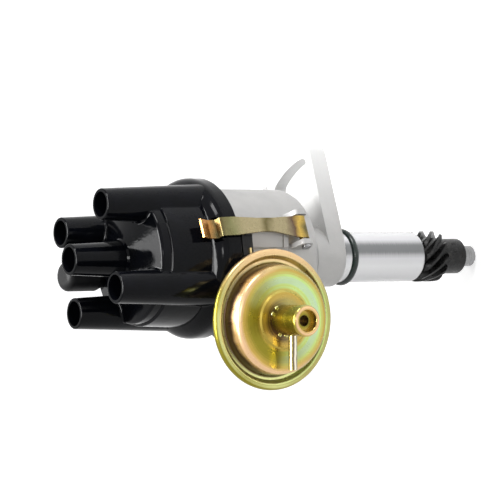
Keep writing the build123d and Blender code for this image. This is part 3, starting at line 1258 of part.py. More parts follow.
def clip_pins():
    """Both hinge pins with their upset heads."""
    pins = []
    for angle in CLIP_ANGLES:
        end = LUG_GAP / 2 + LUG_THICK
        head = Rot(90, 0, 0) * rod(CLIP_PIN_R + 0.9, end + 0.05, end + 1.2)
        pins.append(clip_pin(angle) + at_angle(angle, Pos(HINGE_R, 0, HINGE_Z) * head))
    return Part() + pins


def clip_strip():
    """Side profile of the clip strip: run, fold, seat and finger tab."""
    half = CLIP_SHEET / 2
    eye_r = CLIP_PIN_R + RUNNING + half
    path = FilletPolyline(
        (HINGE_R + eye_r, HINGE_Z), (CLIP_RUN_R, HINGE_Z + 6.0),
        (CLIP_RUN_R + CLIP_BOW, HINGE_Z + CLIP_BOW_RISE), (CLIP_RUN_R, CLIP_LUG_TOP),
        (CLIP_SEAT_R, CLIP_SEAT_Z), (CLIP_SEAT_R - 0.3, CLIP_SEAT_Z + 4.0),
        (CLIP_SEAT_R + 1.6, CLIP_TAB_Z), radius=[2.0, CLIP_BOW_ROUND, 0.8, 0.8, 3.0])
    return trace(path, line_width=CLIP_SHEET)


def clip_width_outline():
    """Front outline of the clip: wide eye, narrow waist, wide hook."""
    hinge = CLIP_HINGE_WIDTH / 2
    waist = CLIP_WAIST_WIDTH / 2
    hook = CLIP_HOOK_WIDTH / 2
    low = HINGE_Z - 4.0
    waist_top = CLIP_WAIST_Z + CLIP_WAIST_LEN
    side = [(hinge, low), (hinge, HINGE_Z + 3.0), (waist, CLIP_WAIST_Z), (waist, waist_top),
            (hook, waist_top + CLIP_FLARE), (hook, CLIP_TAB_Z + 2.0)]
    mirrored = [(-x, z) for x, z in reversed(side)]
    return outline(side + mirrored, [(2, 14.0), (3, 14.0), (8, 14.0), (9, 14.0)])


def cap_clip(angle):
    """Waisted spring clip with a rolled eye round its pin."""
    strip = extrude(Plane.XZ * clip_strip(), CLIP_HINGE_WIDTH, both=True)
    front = extrude(Plane.YZ * clip_width_outline(), 2 * SKIRT_R)
    eye_outer = CLIP_PIN_R + RUNNING + CLIP_SHEET
    half = CLIP_HINGE_WIDTH / 2
    eye = Pos(HINGE_R, 0, HINGE_Z) * Rot(90, 0, 0) * rod(eye_outer, -half, half)
    clip = (strip & front) + eye
    hole = Pos(HINGE_R, 0, HINGE_Z) * Rot(90, 0, 0) * rod(CLIP_PIN_R + RUNNING, -20, 20)
    return at_angle(angle, clip - hole)


# ---- terminal block ----
def terminal_block():
    """Insulator that fills the rim notch and carries the low-tension terminal."""
    half = BLOCK_WIDTH / 2 - 0.1
    low = BLOCK_LOW + 0.1
    body = block((BOWL_BORE_R - 0.05, BLOCK_OUTER_R), (-half, half), (low, RIM_Z - 0.05))
    body = fillet(body.edges().filter_by(Axis.Z), 0.8)
    groove_r = BLOCK_OUTER_R - 1.6
    rib = block((groove_r - BLOCK_GROOVE, groove_r), (-half - 1, half + 1), (low - 1, RIM_Z))
    return at_angle(BLOCK_ANGLE, body - rib + rib_core()) - tab_shape(SEAT)


def rib_core():
    """Core left standing where the side groove of the block is cut."""
    half = BLOCK_WIDTH / 2 - 0.7
    return block((BLOCK_OUTER_R - 3.0, BLOCK_OUTER_R - 1.2), (-half, half),
                 (BLOCK_LOW + 0.7, RIM_Z - 0.6))


def tab_shape(gap=0.0):
    """Flat terminal blade through the block."""
    half = TAB_WIDTH / 2 + gap
    tab = block((BOWL_BORE_R - 3.0, BLOCK_OUTER_R + 0.8), (TAB_Y - half, TAB_Y + half),
                (TAB_Z - gap, TAB_Z + TAB_THICK + gap))
    return at_angle(BLOCK_ANGLE, tab)


def make_nodes():
    """Every sub-part by its node name."""
    lower_bush, upper_bush = bushes()
    half_turn = Rot(0, 0, 180)
    weight = flyweight()
    spring = governor_spring()
    return {
        "housing": housing(),
        "o_ring": o_ring(),
        "lower_bush": lower_bush,
        "upper_bush": upper_bush,
        "drive_shaft": drive_shaft(),
        "drive_gear": drive_gear(),
        "gear_pin": gear_pin(GEAR_PIN_R),
        "thrust_washers": thrust_washers(),
        "governor_plate": governor_plate(),
        "governor_posts": governor_posts(),
        "flyweight_a": weight,
        "flyweight_b": half_turn * weight,
        "governor_spring_a": spring,
        "governor_spring_b": half_turn * spring,
        "advance_sleeve": advance_sleeve(),
        "sleeve_screw": sleeve_screw(),
        "signal_rotor": signal_rotor(),
        "rotor_arm": rotor_arm(),
        "rotor_blade": rotor_blade(),
        "base_plate": base_plate(),
        "base_plate_screws": base_plate_screws(),
        "plate_retainer": plate_retainer(),
        "pickup_plate": pickup_plate(),
        "pickup_coil": pickup_coil(),
        "pickup_core": pickup_core(),
        "igniter_module": igniter_module(),
        "pickup_screws": pickup_screws(),
        "vacuum_cover": vacuum_cover(),
        "vacuum_back_shell": vacuum_back_shell(),
        "vacuum_bracket": vacuum_bracket(),
        "bracket_screws": bracket_screws(),
        "vacuum_nipple": vacuum_nipple(),
        "hose_spigot": hose_spigot(),
        "diaphragm": diaphragm(),
        "diaphragm_cup": diaphragm_cup(),
        "pull_rod": pull_rod(),
        "vacuum_spring": vacuum_spring(),
        "distributor_cap": distributor_cap(),
        "cap_seal": cap_seal(),
        "tower_terminals": tower_terminals(),
        "centre_terminal": centre_terminal(),
        "carbon_brush": carbon_brush(),
        "brush_spring": brush_spring(),
        "breather_cap": breather_cap(),
        "clip_pins": clip_pins(),
        "cap_clip_near": cap_clip(CLIP_ANGLES[0]),
        "cap_clip_far": cap_clip(CLIP_ANGLES[1]),
        "terminal_block": terminal_block(),
        "terminal_tab": tab_shape(),
    }


os.makedirs("parts", exist_ok=True)
for name, shape in make_nodes().items():
    export_step(shape, f"parts/{name}.step")
    print(f"{name}: {shape.volume:.1f} mm3")
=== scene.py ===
# %% [markdown]
# # An ignition distributor
# The solid parts come from CAD and stay where they are. This script gives each of them
# its finish, adds the small forms that a mesh makes better than a solid, and sets up the
# floor, the lamps and the camera. Sizes are in metres, with +Z up the drive shaft.

# %% Load the solid parts
import json
import math
import random

import bmesh
import bpy
from mathutils import Matrix, Vector

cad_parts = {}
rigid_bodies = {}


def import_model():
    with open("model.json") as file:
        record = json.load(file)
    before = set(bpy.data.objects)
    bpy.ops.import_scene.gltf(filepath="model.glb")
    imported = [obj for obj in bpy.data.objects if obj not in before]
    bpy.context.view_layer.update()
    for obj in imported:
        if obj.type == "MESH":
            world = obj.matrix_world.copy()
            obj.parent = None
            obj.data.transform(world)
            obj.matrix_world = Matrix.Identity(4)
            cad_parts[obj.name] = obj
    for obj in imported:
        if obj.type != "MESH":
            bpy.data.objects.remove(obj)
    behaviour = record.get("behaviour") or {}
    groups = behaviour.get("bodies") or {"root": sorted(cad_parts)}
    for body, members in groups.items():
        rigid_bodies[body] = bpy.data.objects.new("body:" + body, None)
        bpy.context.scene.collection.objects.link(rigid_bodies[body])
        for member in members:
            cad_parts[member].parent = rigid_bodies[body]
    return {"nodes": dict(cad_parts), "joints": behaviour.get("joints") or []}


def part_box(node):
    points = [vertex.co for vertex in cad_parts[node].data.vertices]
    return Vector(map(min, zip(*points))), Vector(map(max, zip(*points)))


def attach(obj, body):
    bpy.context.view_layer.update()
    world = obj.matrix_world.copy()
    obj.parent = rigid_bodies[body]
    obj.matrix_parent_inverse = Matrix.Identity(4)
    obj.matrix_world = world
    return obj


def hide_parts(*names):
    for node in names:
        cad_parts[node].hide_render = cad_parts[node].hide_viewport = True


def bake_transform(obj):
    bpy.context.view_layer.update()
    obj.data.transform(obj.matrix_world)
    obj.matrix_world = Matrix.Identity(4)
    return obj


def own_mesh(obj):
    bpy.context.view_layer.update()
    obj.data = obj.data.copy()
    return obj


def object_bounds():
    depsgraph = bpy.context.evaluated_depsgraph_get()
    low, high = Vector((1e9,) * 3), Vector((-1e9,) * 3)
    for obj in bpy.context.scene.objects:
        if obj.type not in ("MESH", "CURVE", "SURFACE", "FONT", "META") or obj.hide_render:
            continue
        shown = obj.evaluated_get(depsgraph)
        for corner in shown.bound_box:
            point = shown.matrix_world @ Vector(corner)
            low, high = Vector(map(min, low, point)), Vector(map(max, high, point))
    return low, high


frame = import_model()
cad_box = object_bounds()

nodes = frame["nodes"]
MM = 0.001

# %% [markdown]
# ## Camera
# The distributor lies across the view with the cap on the left, and it is seen from the
# vacuum can's side. A long lens keeps the towers nearly parallel. The camera's three axes
# are written out, because the shaft runs level across the view instead of standing.

# %% Camera with a long lens
CAMERA_PLACE = Vector((0.82032, 0.00384, 0.60349))
CAMERA_TURN_DOWN = math.radians(34.14)
CAMERA_ROLL = math.radians(0.389)
LENS_MM = 148.0
SENSOR_MM = 36.0


def aim_camera(place, turn_down, roll):
    """Camera whose view has +Y up and the shaft running to the left."""
    right = Vector((math.sin(turn_down), 0.0, -math.cos(turn_down)))
    up = Vector((0.0, 1.0, 0.0))
    back = Vector((math.cos(turn_down), 0.0, math.sin(turn_down)))
    rolled_right = math.cos(roll) * right - math.sin(roll) * up
    rolled_up = math.sin(roll) * right + math.cos(roll) * up
    data = bpy.data.cameras.new("camera")
    data.lens = LENS_MM
    data.sensor_width = SENSOR_MM
    data.clip_start = 0.01
    data.clip_end = 50.0
    camera = bpy.data.objects.new("camera", data)
    axes = Matrix((rolled_right, rolled_up, back)).transposed()
    camera.matrix_world = Matrix.Translation(place) @ axes.to_4x4()
    bpy.context.scene.collection.objects.link(camera)
    bpy.context.scene.camera = camera
    return camera


camera = aim_camera(CAMERA_PLACE, CAMERA_TURN_DOWN, CAMERA_ROLL)
print("camera", round(camera.location.length, 3), "m from the clamp face")

# %% [markdown]
# ## Floor and light
# A studio shot on white needs three things: a pale floor that catches the shadow, a world
# that looks white to the lens and to shiny surfaces, and large lamps whose soft edges
# show in glossy plastic. The world's light on the part is kept lower than what the lens
# sees, by asking Light Path which kind of ray is looking. One lamp is long and only shows
# in gloss: it draws a line of light along rounded edges, and diffuse rays don't see it.

# %% World that is white to the lens
WORLD_ON_PART = 0.3
WORLD_SEEN = 1.0


def white_for_the_lens(tree, plain_strength, shown_strength):
    """Strength that is higher for camera, glossy and transmitted rays than for the rest."""
    rays = tree.nodes.new("ShaderNodeLightPath")
    seen = rays.outputs["Is Camera Ray"]
    for other in ("Is Glossy Ray", "Is Transmission Ray"):
        either = tree.nodes.new("ShaderNodeMath")
        either.operation = "MAXIMUM"
        tree.links.new(seen, either.inputs[0])
        tree.links.new(rays.outputs[other], either.inputs[1])
        seen = either.outputs[0]
    spread = tree.nodes.new("ShaderNodeMapRange")
    spread.inputs["To Min"].default_value = plain_strength
    spread.inputs["To Max"].default_value = shown_strength
    tree.links.new(seen, spread.inputs["Value"])
    return spread.outputs["Result"]


world = bpy.data.worlds.new("studio")
world.use_nodes = True
sky = world.node_tree.nodes["Background"]
sky.inputs["Color"].default_value = (1.0, 1.0, 1.0, 1.0)
brightness = white_for_the_lens(world.node_tree, WORLD_ON_PART, WORLD_SEEN)
world.node_tree.links.new(brightness, sky.inputs["Strength"])
bpy.context.scene.world = world
bpy.context.scene.view_settings.view_transform = "Standard"
print("world lights at", WORLD_ON_PART, "and shows at", WORLD_SEEN)

# %% Floor that is white to the lens and keeps the shadow
FLOOR_GAP = 0.0002
FLOOR_HALF = 3.0
FLOOR_GLOW = 0.55


def white_floor(height, half_width):
    """Square floor under the part."""
    sheet = bmesh.new()
    bmesh.ops.create_grid(sheet, x_segments=1, y_segments=1, size=half_width)
    bmesh.ops.translate(sheet, verts=sheet.verts, vec=(0.0, 0.0, height))
    mesh = bpy.data.meshes.new("floor")
    sheet.to_mesh(mesh)
    sheet.free()
    floor = bpy.data.objects.new("floor", mesh)
    bpy.context.scene.collection.objects.link(floor)
    paint = bpy.data.materials.new("floor_white")
    paint.use_nodes = True
    tree = paint.node_tree
    shader = tree.nodes["Principled BSDF"]
    shader.inputs["Base Color"].default_value = (0.86, 0.86, 0.86, 1.0)
    shader.inputs["Roughness"].default_value = 0.9
    shader.inputs["Emission Color"].default_value = (1.0, 1.0, 1.0, 1.0)
    glow = white_for_the_lens(tree, 0.0, FLOOR_GLOW)
    tree.links.new(glow, shader.inputs["Emission Strength"])
    floor.data.materials.append(paint)
    return floor


floor = white_floor(cad_box[0].z - FLOOR_GAP, FLOOR_HALF)
print("floor at", round(cad_box[0].z - FLOOR_GAP, 4), "m")

# %% Soft lamps
BOWL_FOOT = (0.0, 0.0, 0.04)
BOWL_MIDDLE = (0.0, 0.0, 0.05)


def soft_lamp(name, place, target, width, watts, length=None):
    """Area lamp that looks at a point on the part; its length lies along Y."""
    data = bpy.data.lights.new(name, "AREA")
    data.shape = "RECTANGLE"
    data.size = width
    data.size_y = length or width
    data.energy = watts
    lamp = bpy.data.objects.new(name, data)
    lamp.location = place
    lamp.rotation_euler = (Vector(target) - Vector(place)).to_track_quat("-Z", "Y").to_euler()
    bpy.context.scene.collection.objects.link(lamp)
    return lamp


soft_lamp("key_lamp", (0.25, 0.75, 0.35), BOWL_FOOT, 0.24, 3.6)
soft_lamp("front_lamp", (0.95, 0.18, 0.72), BOWL_MIDDLE, 0.16, 1.6)
soft_lamp("top_lamp", (-0.5, 0.02, 0.95), BOWL_MIDDLE, 0.3, 2.6)
glint = soft_lamp("glint_lamp", (-0.1, 0.1, 1.05), BOWL_MIDDLE, 0.36, 40.0, length=1.1)
glint.visible_diffuse = False
print("three lamps, and one that only shows in gloss")

# %% [markdown]
# ## Finishes
# Every finish is a Principled shader with a few helper nodes. The helpers below make the
# pieces of pattern that most finishes share: a noise, a colour ramp, a bump, and a mask
# that follows the distance from the shaft or the height along it.

# %% Helpers for finishes
class Finish:
    """A material under construction, with short names for the nodes that recur."""

    def __init__(self, name, metal, rough, color):
        self.material = bpy.data.materials.new(name)
        self.material.use_nodes = True
        self.tree = self.material.node_tree
        self.shader = self.tree.nodes["Principled BSDF"]
        self.shader.inputs["Metallic"].default_value = metal
        self.shader.inputs["Roughness"].default_value = rough
        self.shader.inputs["Base Color"].default_value = (*color, 1.0)
        self.place = self.tree.nodes.new("ShaderNodeTexCoord").outputs["Object"]

    def link(self, source, target):
        self.tree.links.new(source, target)

    def noise(self, size, detail=3.0, rough=0.5, stretch=None):
        """Cloudy pattern whose lumps are about size metres across."""
        source = self.place
        if stretch:
            turn = self.tree.nodes.new("ShaderNodeMapping")
            turn.inputs["Scale"].default_value = stretch
            self.link(source, turn.inputs["Vector"])
            source = turn.outputs["Vector"]
        texture = self.tree.nodes.new("ShaderNodeTexNoise")
        texture.inputs["Scale"].default_value = 1.0 / size
        texture.inputs["Detail"].default_value = detail
        texture.inputs["Roughness"].default_value = rough
        self.link(source, texture.inputs["Vector"])
        return texture.outputs["Fac"]

    def lathe_lines(self, distance, width):
        """Rings of uneven brightness, about width metres apart, for a given distance."""
        texture = self.tree.nodes.new("ShaderNodeTexNoise")
        texture.noise_dimensions = "1D"
        texture.inputs["Scale"].default_value = 1.0 / width
        texture.inputs["Detail"].default_value = 2.0
        self.link(distance, texture.inputs["W"])
        return texture.outputs["Fac"]

    def ramp(self, source, stops):
        """Colours set against a value from 0 to 1."""
        ramp = self.tree.nodes.new("ShaderNodeValToRGB")
        band = ramp.color_ramp
        while len(band.elements) < len(stops):
            band.elements.new(0.5)
        for element, (at, color) in zip(band.elements, stops):
            element.position = at
            element.color = (*color, 1.0)
        self.link(source, ramp.inputs["Fac"])
        return ramp.outputs["Color"]

    def math(self, kind, first, second):
        """One sum; each side is a socket or a number."""
        sum_node = self.tree.nodes.new("ShaderNodeMath")
        sum_node.operation = kind
        for side, value in enumerate((first, second)):
            if isinstance(value, (int, float)):
                sum_node.inputs[side].default_value = value
            else:
                self.link(value, sum_node.inputs[side])
        return sum_node.outputs[0]

    def span(self, source, low, high, to_low=0.0, to_high=1.0):
        """A value moved from one range to another, with its ends held."""
        spread = self.tree.nodes.new("ShaderNodeMapRange")
        for name, value in (("From Min", low), ("From Max", high), ("To Min", to_low),
                            ("To Max", to_high)):
            spread.inputs[name].default_value = value
        self.link(source, spread.inputs["Value"])
        return spread.outputs["Result"]

    def parts_of_place(self):
        """The X, Y and Z of the spot being shaded."""
        split = self.tree.nodes.new("ShaderNodeSeparateXYZ")
        self.link(self.place, split.inputs[0])
        return split.outputs

    def reach(self, first, second, centre=(0.0, 0.0)):
        """Distance from an axis, given the two coordinates across it."""
        squares = []
        for value, middle in zip((first, second), centre):
            offset = self.math("SUBTRACT", value, middle)
            squares.append(self.math("MULTIPLY", offset, offset))
        return self.math("SQRT", self.math("ADD", *squares), 0.0)

    def mix(self, factor, first, second):
        """Blend of two colours; each is a socket or three numbers."""
        blend = self.tree.nodes.new("ShaderNodeMix")
        blend.data_type = "RGBA"
        self.link(factor, blend.inputs[0])
        for index, value in ((6, first), (7, second)):
            if isinstance(value, tuple):
                blend.inputs[index].default_value = (*value, 1.0)
            else:
                self.link(value, blend.inputs[index])
        return blend.outputs[2]

    def bump(self, height, depth, strength=1.0):
        """Fine relief, depth metres deep."""
        relief = self.tree.nodes.new("ShaderNodeBump")
        relief.inputs["Distance"].default_value = depth
        relief.inputs["Strength"].default_value = strength
        self.link(height, relief.inputs["Height"])
        self.link(relief.outputs["Normal"], self.shader.inputs["Normal"])

    def color(self, source):
        self.link(source, self.shader.inputs["Base Color"])

    def roughness(self, source):
        self.link(source, self.shader.inputs["Roughness"])

    def mottle(self, size, stops, detail=3.0):
        """Colour that changes from patch to patch, each about size metres across."""
        self.color(self.ramp(self.noise(size, detail), stops))

    def worn(self, size, smooth, rough, detail=3.0):
        """Roughness that changes from patch to patch between two values."""
        self.roughness(self.span(self.noise(size, detail), 0.3, 0.7, smooth, rough))

    def grain(self, size, depth, strength, detail=3.0):
        """Fine lumps about size metres across."""
        self.bump(self.noise(size, detail), depth, strength)


def dress(material, *names):
    """Give CAD parts one finish."""
    for name in names:
        mesh = nodes[name].data
        mesh.materials.clear()
        mesh.materials.append(material)
        for face in mesh.polygons:
            face.material_index = 0


print("finish helpers ready")

# %% [markdown]
# ## Cast and machined aluminium
# The bowl, neck and ear are blasted castings: pale, slightly warm and grainy. The shank
# is the same metal turned on a lathe, so it is smoother and carries fine rings. One
# finish does both, because the two meet on one part, and the height along the shaft and
# the distance from it say which one a spot has. The ear's top face is painted paler
# towards its tip, a painted highlight. Along the turned part runs a painted reflection:
# a dark band on the side that faces BAND_ANGLE, with a paler painted sheen beside it.

# %% Housing finish
SEAM = 0.0002
SHANK_SIDE_R = 0.0137
EAR_TOP = 0.0098
EAR_ROOT_Y = 0.012
EAR_TIP_Y = 0.052
BAND_ANGLE = math.radians(19.0)
cast = Finish("cast_aluminium", 0.5, 0.45, (0.5, 0.49, 0.47))
x, y, z = cast.parts_of_place()
radius = cast.reach(x, y)
below_ear = cast.span(z, -SEAM, SEAM, 1.0, 0.0)
near_axis = cast.span(radius, SHANK_SIDE_R - SEAM / 2, SHANK_SIDE_R + SEAM / 2, 1.0, 0.0)
turned_part = cast.math("MULTIPLY", below_ear, near_axis)
clouds = cast.noise(0.015, 4.0)
grey = cast.ramp(clouds, [(0.3, (0.42, 0.415, 0.41)), (0.7, (0.5, 0.495, 0.485))])
# Painted highlight: the ear's top face is painted paler, more so towards its tip.
ear_height = cast.span(z, EAR_TOP + SEAM / 2, EAR_TOP - SEAM / 2)
ear_painted_highlight = cast.math("MULTIPLY", ear_height, cast.span(y, EAR_ROOT_Y, EAR_TIP_Y))
pale = cast.mix(ear_painted_highlight, grey, (0.8, 0.8, 0.795))
# Painted reflection on the turned part: a dark band where the surface faces BAND_ANGLE, with a
# paler painted sheen beside it; the lathe rings are real.
facing_x = cast.math("MULTIPLY", x, math.cos(BAND_ANGLE))
facing_y = cast.math("MULTIPLY", y, math.sin(BAND_ANGLE))
facing = cast.math("ADD", facing_x, facing_y)
painted_band_facing = cast.math("POWER", cast.math("DIVIDE", facing, radius), 2.0)
rings = cast.math("MULTIPLY", cast.lathe_lines(z, 0.0009), 0.025)
rings_and_painted_band = cast.ramp(cast.math("ADD", painted_band_facing, rings), [
    (0.0, (0.6, 0.6, 0.61)), (0.6, (0.78, 0.78, 0.79)), (0.86, (0.7, 0.7, 0.72)),
    (0.94, (0.5, 0.5, 0.51)), (0.985, (0.25, 0.255, 0.26)), (1.0, (0.21, 0.215, 0.22))])
cast.color(cast.mix(turned_part, pale, rings_and_painted_band))
cast.roughness(cast.span(turned_part, 0.0, 1.0, 0.5, 0.24))
grain = cast.noise(0.0007, 4.0, 0.6)
grain_here = cast.math("MULTIPLY", grain, cast.span(turned_part, 0.0, 1.0, 1.0, 0.1))
cast.bump(grain_here, 0.00012, 0.6)
dress(cast.material, "housing")
print("housing dressed")

# %% [markdown]
# ## Black cap
# The cap is moulded in a hard glossy plastic. Its black is never quite flat: the surface
# waves a little, which bends the edges of what it mirrors.

# %% Cap finish
cap = Finish("cap_black", 0.0, 0.1, (0.0035, 0.004, 0.006))
cap.shader.inputs["Specular IOR Level"].default_value = 0.1
cap.worn(0.006, 0.06, 0.14, 2.0)
cap.mottle(0.01, [(0.4, (0.003, 0.0035, 0.005)), (0.7, (0.0045, 0.005, 0.008))])
cap.grain(0.005, 0.00015, 0.5, 2.0)
dress(cap.material, "distributor_cap")
print("cap dressed")

# %% [markdown]
# ## Rubber
# The breather's cover, the cap's seal and the diaphragm are dull black rubber, and the
# ring in the shank's groove is an oiled one with a green cast. Rubber is soft to the eye
# because it is rough at a scale too small to see, so roughness does most of the work and
# a weak, very fine bump does the rest.

# %% Rubber finishes
rubber = Finish("black_rubber", 0.0, 0.5, (0.008, 0.008, 0.009))
rubber.shader.inputs["Specular IOR Level"].default_value = 0.2
rubber.mottle(0.004, [(0.4, (0.007, 0.007, 0.008)), (0.7, (0.014, 0.014, 0.015))])
rubber.grain(0.0005, 0.00004, 0.6)
dress(rubber.material, "breather_cap", "cap_seal", "diaphragm")
ring_rubber = Finish("ring_rubber", 0.0, 0.25, (0.008, 0.016, 0.013))
RING_TONES = [(0.4, (0.006, 0.014, 0.011)), (0.7, (0.012, 0.026, 0.022))]
ring_rubber.mottle(0.003, RING_TONES, 2.0)
ring_rubber.grain(0.001, 0.00002, 0.5, 2.0)
dress(ring_rubber.material, "o_ring")
print("rubber dressed")

# %% [markdown]
# ## Yellow zinc
# Zinc plate with a yellow chromate film shows bands of yellow, green and pink, as oil on
# water does. The film is a thin layer, and its thickness sets the colour: it runs off
# slopes and gathers in corners, so on a pressed can the bands follow the rings of the
# press tool. A ramp set by the distance from the can's axis gives those rings, and a slow
# noise bends them. There are two ramps, one greener and one more olive, and the direction
# round the axis blends them: the greener one takes over towards +Y and -Z. The dark umber
# rings in both ramps are a painted reflection, and the lime on the bead is the film's
# colour with a painted highlight.

# %% Film colours
def srgb(red, green, blue):
    """Colour as a screen gives it, turned into the linear numbers a shader takes."""
    shares = [value / 255.0 for value in (red, green, blue)]
    return tuple(v / 12.92 if v <= 0.04045 else ((v + 0.055) / 1.055) ** 2.4 for v in shares)


UMBER = srgb(95, 75, 60)
OLIVE = srgb(140, 130, 45)
GOLD = srgb(190, 160, 80)
STRAW = srgb(165, 155, 95)
PINK = srgb(235, 195, 150)
GREEN = srgb(190, 215, 130)
PALE_BLUE = srgb(182, 206, 176)
LIME = srgb(220, 222, 150)

# %% Yellow zinc on the vacuum can
can_low, can_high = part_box("vacuum_cover")
CAN_Y = (can_low.y + can_high.y) / 2
CAN_Z = (can_low.z + can_high.z) / 2
CAN_FACE_X = can_high.x
CAN_R = 0.033
# Painted reflection: the UMBER stops in both ramps are dark rings of painted reflection; the LIME
# on the bead is film colour with a painted highlight.
GREEN_SIDE = [(0.26, STRAW), (0.38, GOLD), (0.47, GREEN), (0.56, PALE_BLUE), (0.62, GREEN),
              (0.69, GOLD), (0.74, STRAW), (0.77, UMBER), (0.83, LIME), (0.88, GREEN),
              (0.94, STRAW)]
OLIVE_SIDE = [(0.26, UMBER), (0.34, GOLD), (0.46, OLIVE), (0.56, OLIVE), (0.66, GOLD),
              (0.71, PINK), (0.745, PINK), (0.765, UMBER), (0.8, UMBER), (0.83, LIME),
              (0.91, LIME), (0.96, OLIVE)]
film = Finish("yellow_zinc_can", 0.95, 0.24, GOLD)
x, y, z = film.parts_of_place()
from_axis = film.reach(y, z, (CAN_Y, CAN_Z))
drift = film.math("MULTIPLY", film.math("SUBTRACT", film.noise(0.02, 2.0), 0.5), 0.07)
lines = film.lathe_lines(from_axis, 0.0011)
drift = film.math("ADD", drift, film.math("MULTIPLY", film.math("SUBTRACT", lines, 0.5), 0.11))
where = film.math("ADD", film.span(from_axis, 0.0, CAN_R), drift)
up = film.math("DIVIDE", film.math("SUBTRACT", y, CAN_Y), from_axis)
away = film.math("DIVIDE", film.math("SUBTRACT", CAN_Z, z), from_axis)
toward = film.math("ADD", film.math("MULTIPLY", up, 0.4), film.math("MULTIPLY", away, 0.9))
toward = film.math("ADD", toward, film.math("MULTIPLY", film.noise(0.012, 2.0), 0.8))
side = film.span(toward, -0.35, 1.1)
rings = film.mix(side, film.ramp(where, OLIVE_SIDE), film.ramp(where, GREEN_SIDE))
on_bead = film.math("MULTIPLY", film.span(where, 0.79, 0.83), film.span(up, 0.35, 0.9, 0.0, 0.75))
film.color(film.mix(on_bead, rings, PINK))
film.worn(0.004, 0.25, 0.36)
film.bump(lines, 0.00005, 0.5)
dress(film.material, "vacuum_cover", "vacuum_back_shell")
print("film rings reach", CAN_R, "m from the can's axis")

# %% Yellow zinc on the nipple
NIPPLE_R = 0.0072
NIPPLE_RIM = (0.0064, 0.0069)
FRONT_RINGS = [(0.3, UMBER), (0.4, OLIVE), (0.65, GOLD), (0.85, PINK), (1.0, GOLD)]
STEM_SIDES = [(0.0, STRAW), (0.35, OLIVE), (0.65, OLIVE), (1.0, GOLD)]
gold = Finish("yellow_zinc_nipple", 0.95, 0.25, OLIVE)
x, y, z = gold.parts_of_place()
from_axis = gold.reach(y, z, (CAN_Y, CAN_Z))
front = gold.ramp(gold.span(from_axis, 0.0, NIPPLE_R), FRONT_RINGS)
stem = gold.ramp(gold.span(y, CAN_Y + NIPPLE_R, CAN_Y - NIPPLE_R), STEM_SIDES)
gold.color(gold.mix(gold.span(from_axis, *NIPPLE_RIM), front, stem))
gold.worn(0.003, 0.2, 0.3)
gold.grain(0.0012, 0.00002, 0.4)
dress(gold.material, "vacuum_nipple")
print("nipple dressed")

# %% Yellow zinc on the bracket
strap = Finish("yellow_zinc_bracket", 0.9, 0.35, OLIVE)
strap.mottle(0.006, [(0.3, UMBER), (0.45, OLIVE), (0.6, STRAW), (0.75, OLIVE)])
strap.worn(0.003, 0.3, 0.42)
strap.grain(0.0008, 0.00003, 0.4)
dress(strap.material, "vacuum_bracket")
print("bracket dressed")

# %% Drawn hose tube with a painted reflection
TUBE_R = 0.002
# Painted reflection across the tube: a pale painted highlight down its middle between dark umber
# lines; the stretched bump is the real drawing texture.
PAINTED_HIGHLIGHT = srgb(238, 232, 210)
PAINTED_TUBE_REFLECTION = [(0.0, GOLD), (0.2, STRAW), (0.32, UMBER), (0.42, PAINTED_HIGHLIGHT), (0.58, PAINTED_HIGHLIGHT),
               (0.7, UMBER), (0.85, STRAW)]
tube = Finish("yellow_zinc_tube", 0.95, 0.2, STRAW)
x, y, z = tube.parts_of_place()
wander = tube.math("MULTIPLY", tube.math("SUBTRACT", tube.noise(0.004, 2.0), 0.5), 0.2)
across = tube.math("ADD", tube.span(z, CAN_Z - TUBE_R, CAN_Z + TUBE_R), wander)
tube.color(tube.ramp(across, PAINTED_TUBE_REFLECTION))
tube.bump(tube.noise(0.0008, 2.0, 0.5, (1.0, 0.05, 1.0)), 0.00002, 0.5)
dress(tube.material, "hose_spigot")
print("hose tube dressed")

# %% Yellow zinc on the clips
# The clip's film is painted as a shaded and a lit copy (SHADED and the lit tan below); their
# bands along the clip are painted light and shade that follow its bow.
SHADED = srgb(100, 92, 60)
PAINTED_LIT_TAN = srgb(154, 143, 110)
MOSS = srgb(124, 122, 84)
COPPER = srgb(176, 126, 70)
CLIP_FOOT_Z = 0.041
CLIP_HOOK_Z = 0.097
clip_film = Finish("yellow_zinc_clip", 0.9, 0.28, SHADED)
x, y, z = clip_film.parts_of_place()
lumps = clip_film.math("SUBTRACT", clip_film.noise(0.008, 2.0), 0.5)
ripple = clip_film.math("MULTIPLY", lumps, 0.12)
along = clip_film.math("ADD", clip_film.span(z, CLIP_FOOT_Z, CLIP_HOOK_Z), ripple)
clip_film.color(clip_film.ramp(along, [
    (0.0, SHADED), (0.05, GOLD), (0.11, UMBER), (0.2, PAINTED_LIT_TAN), (0.34, PAINTED_LIT_TAN), (0.41, SHADED),
    (0.48, PAINTED_LIT_TAN), (0.62, PAINTED_LIT_TAN), (0.74, MOSS), (0.84, SHADED), (0.92, COPPER)]))
clip_film.worn(0.003, 0.22, 0.34)
clip_film.grain(0.0008, 0.00003, 0.4)
dress(clip_film.material, "cap_clip_near", "cap_clip_far")
print("clips dressed")

# %% [markdown]
# ## Steel, bronze and brass
# The gear is hardened steel with a black oxide: it drinks light, and only the edges of
# the teeth glint. The shaft and the pins are ground, which leaves fine lines round them.
# The bushes are sintered bronze, pressed from powder and full of tiny pores. Brass
# carries the current in the towers. Parts made by one process share one shader,
# whatever their shape.

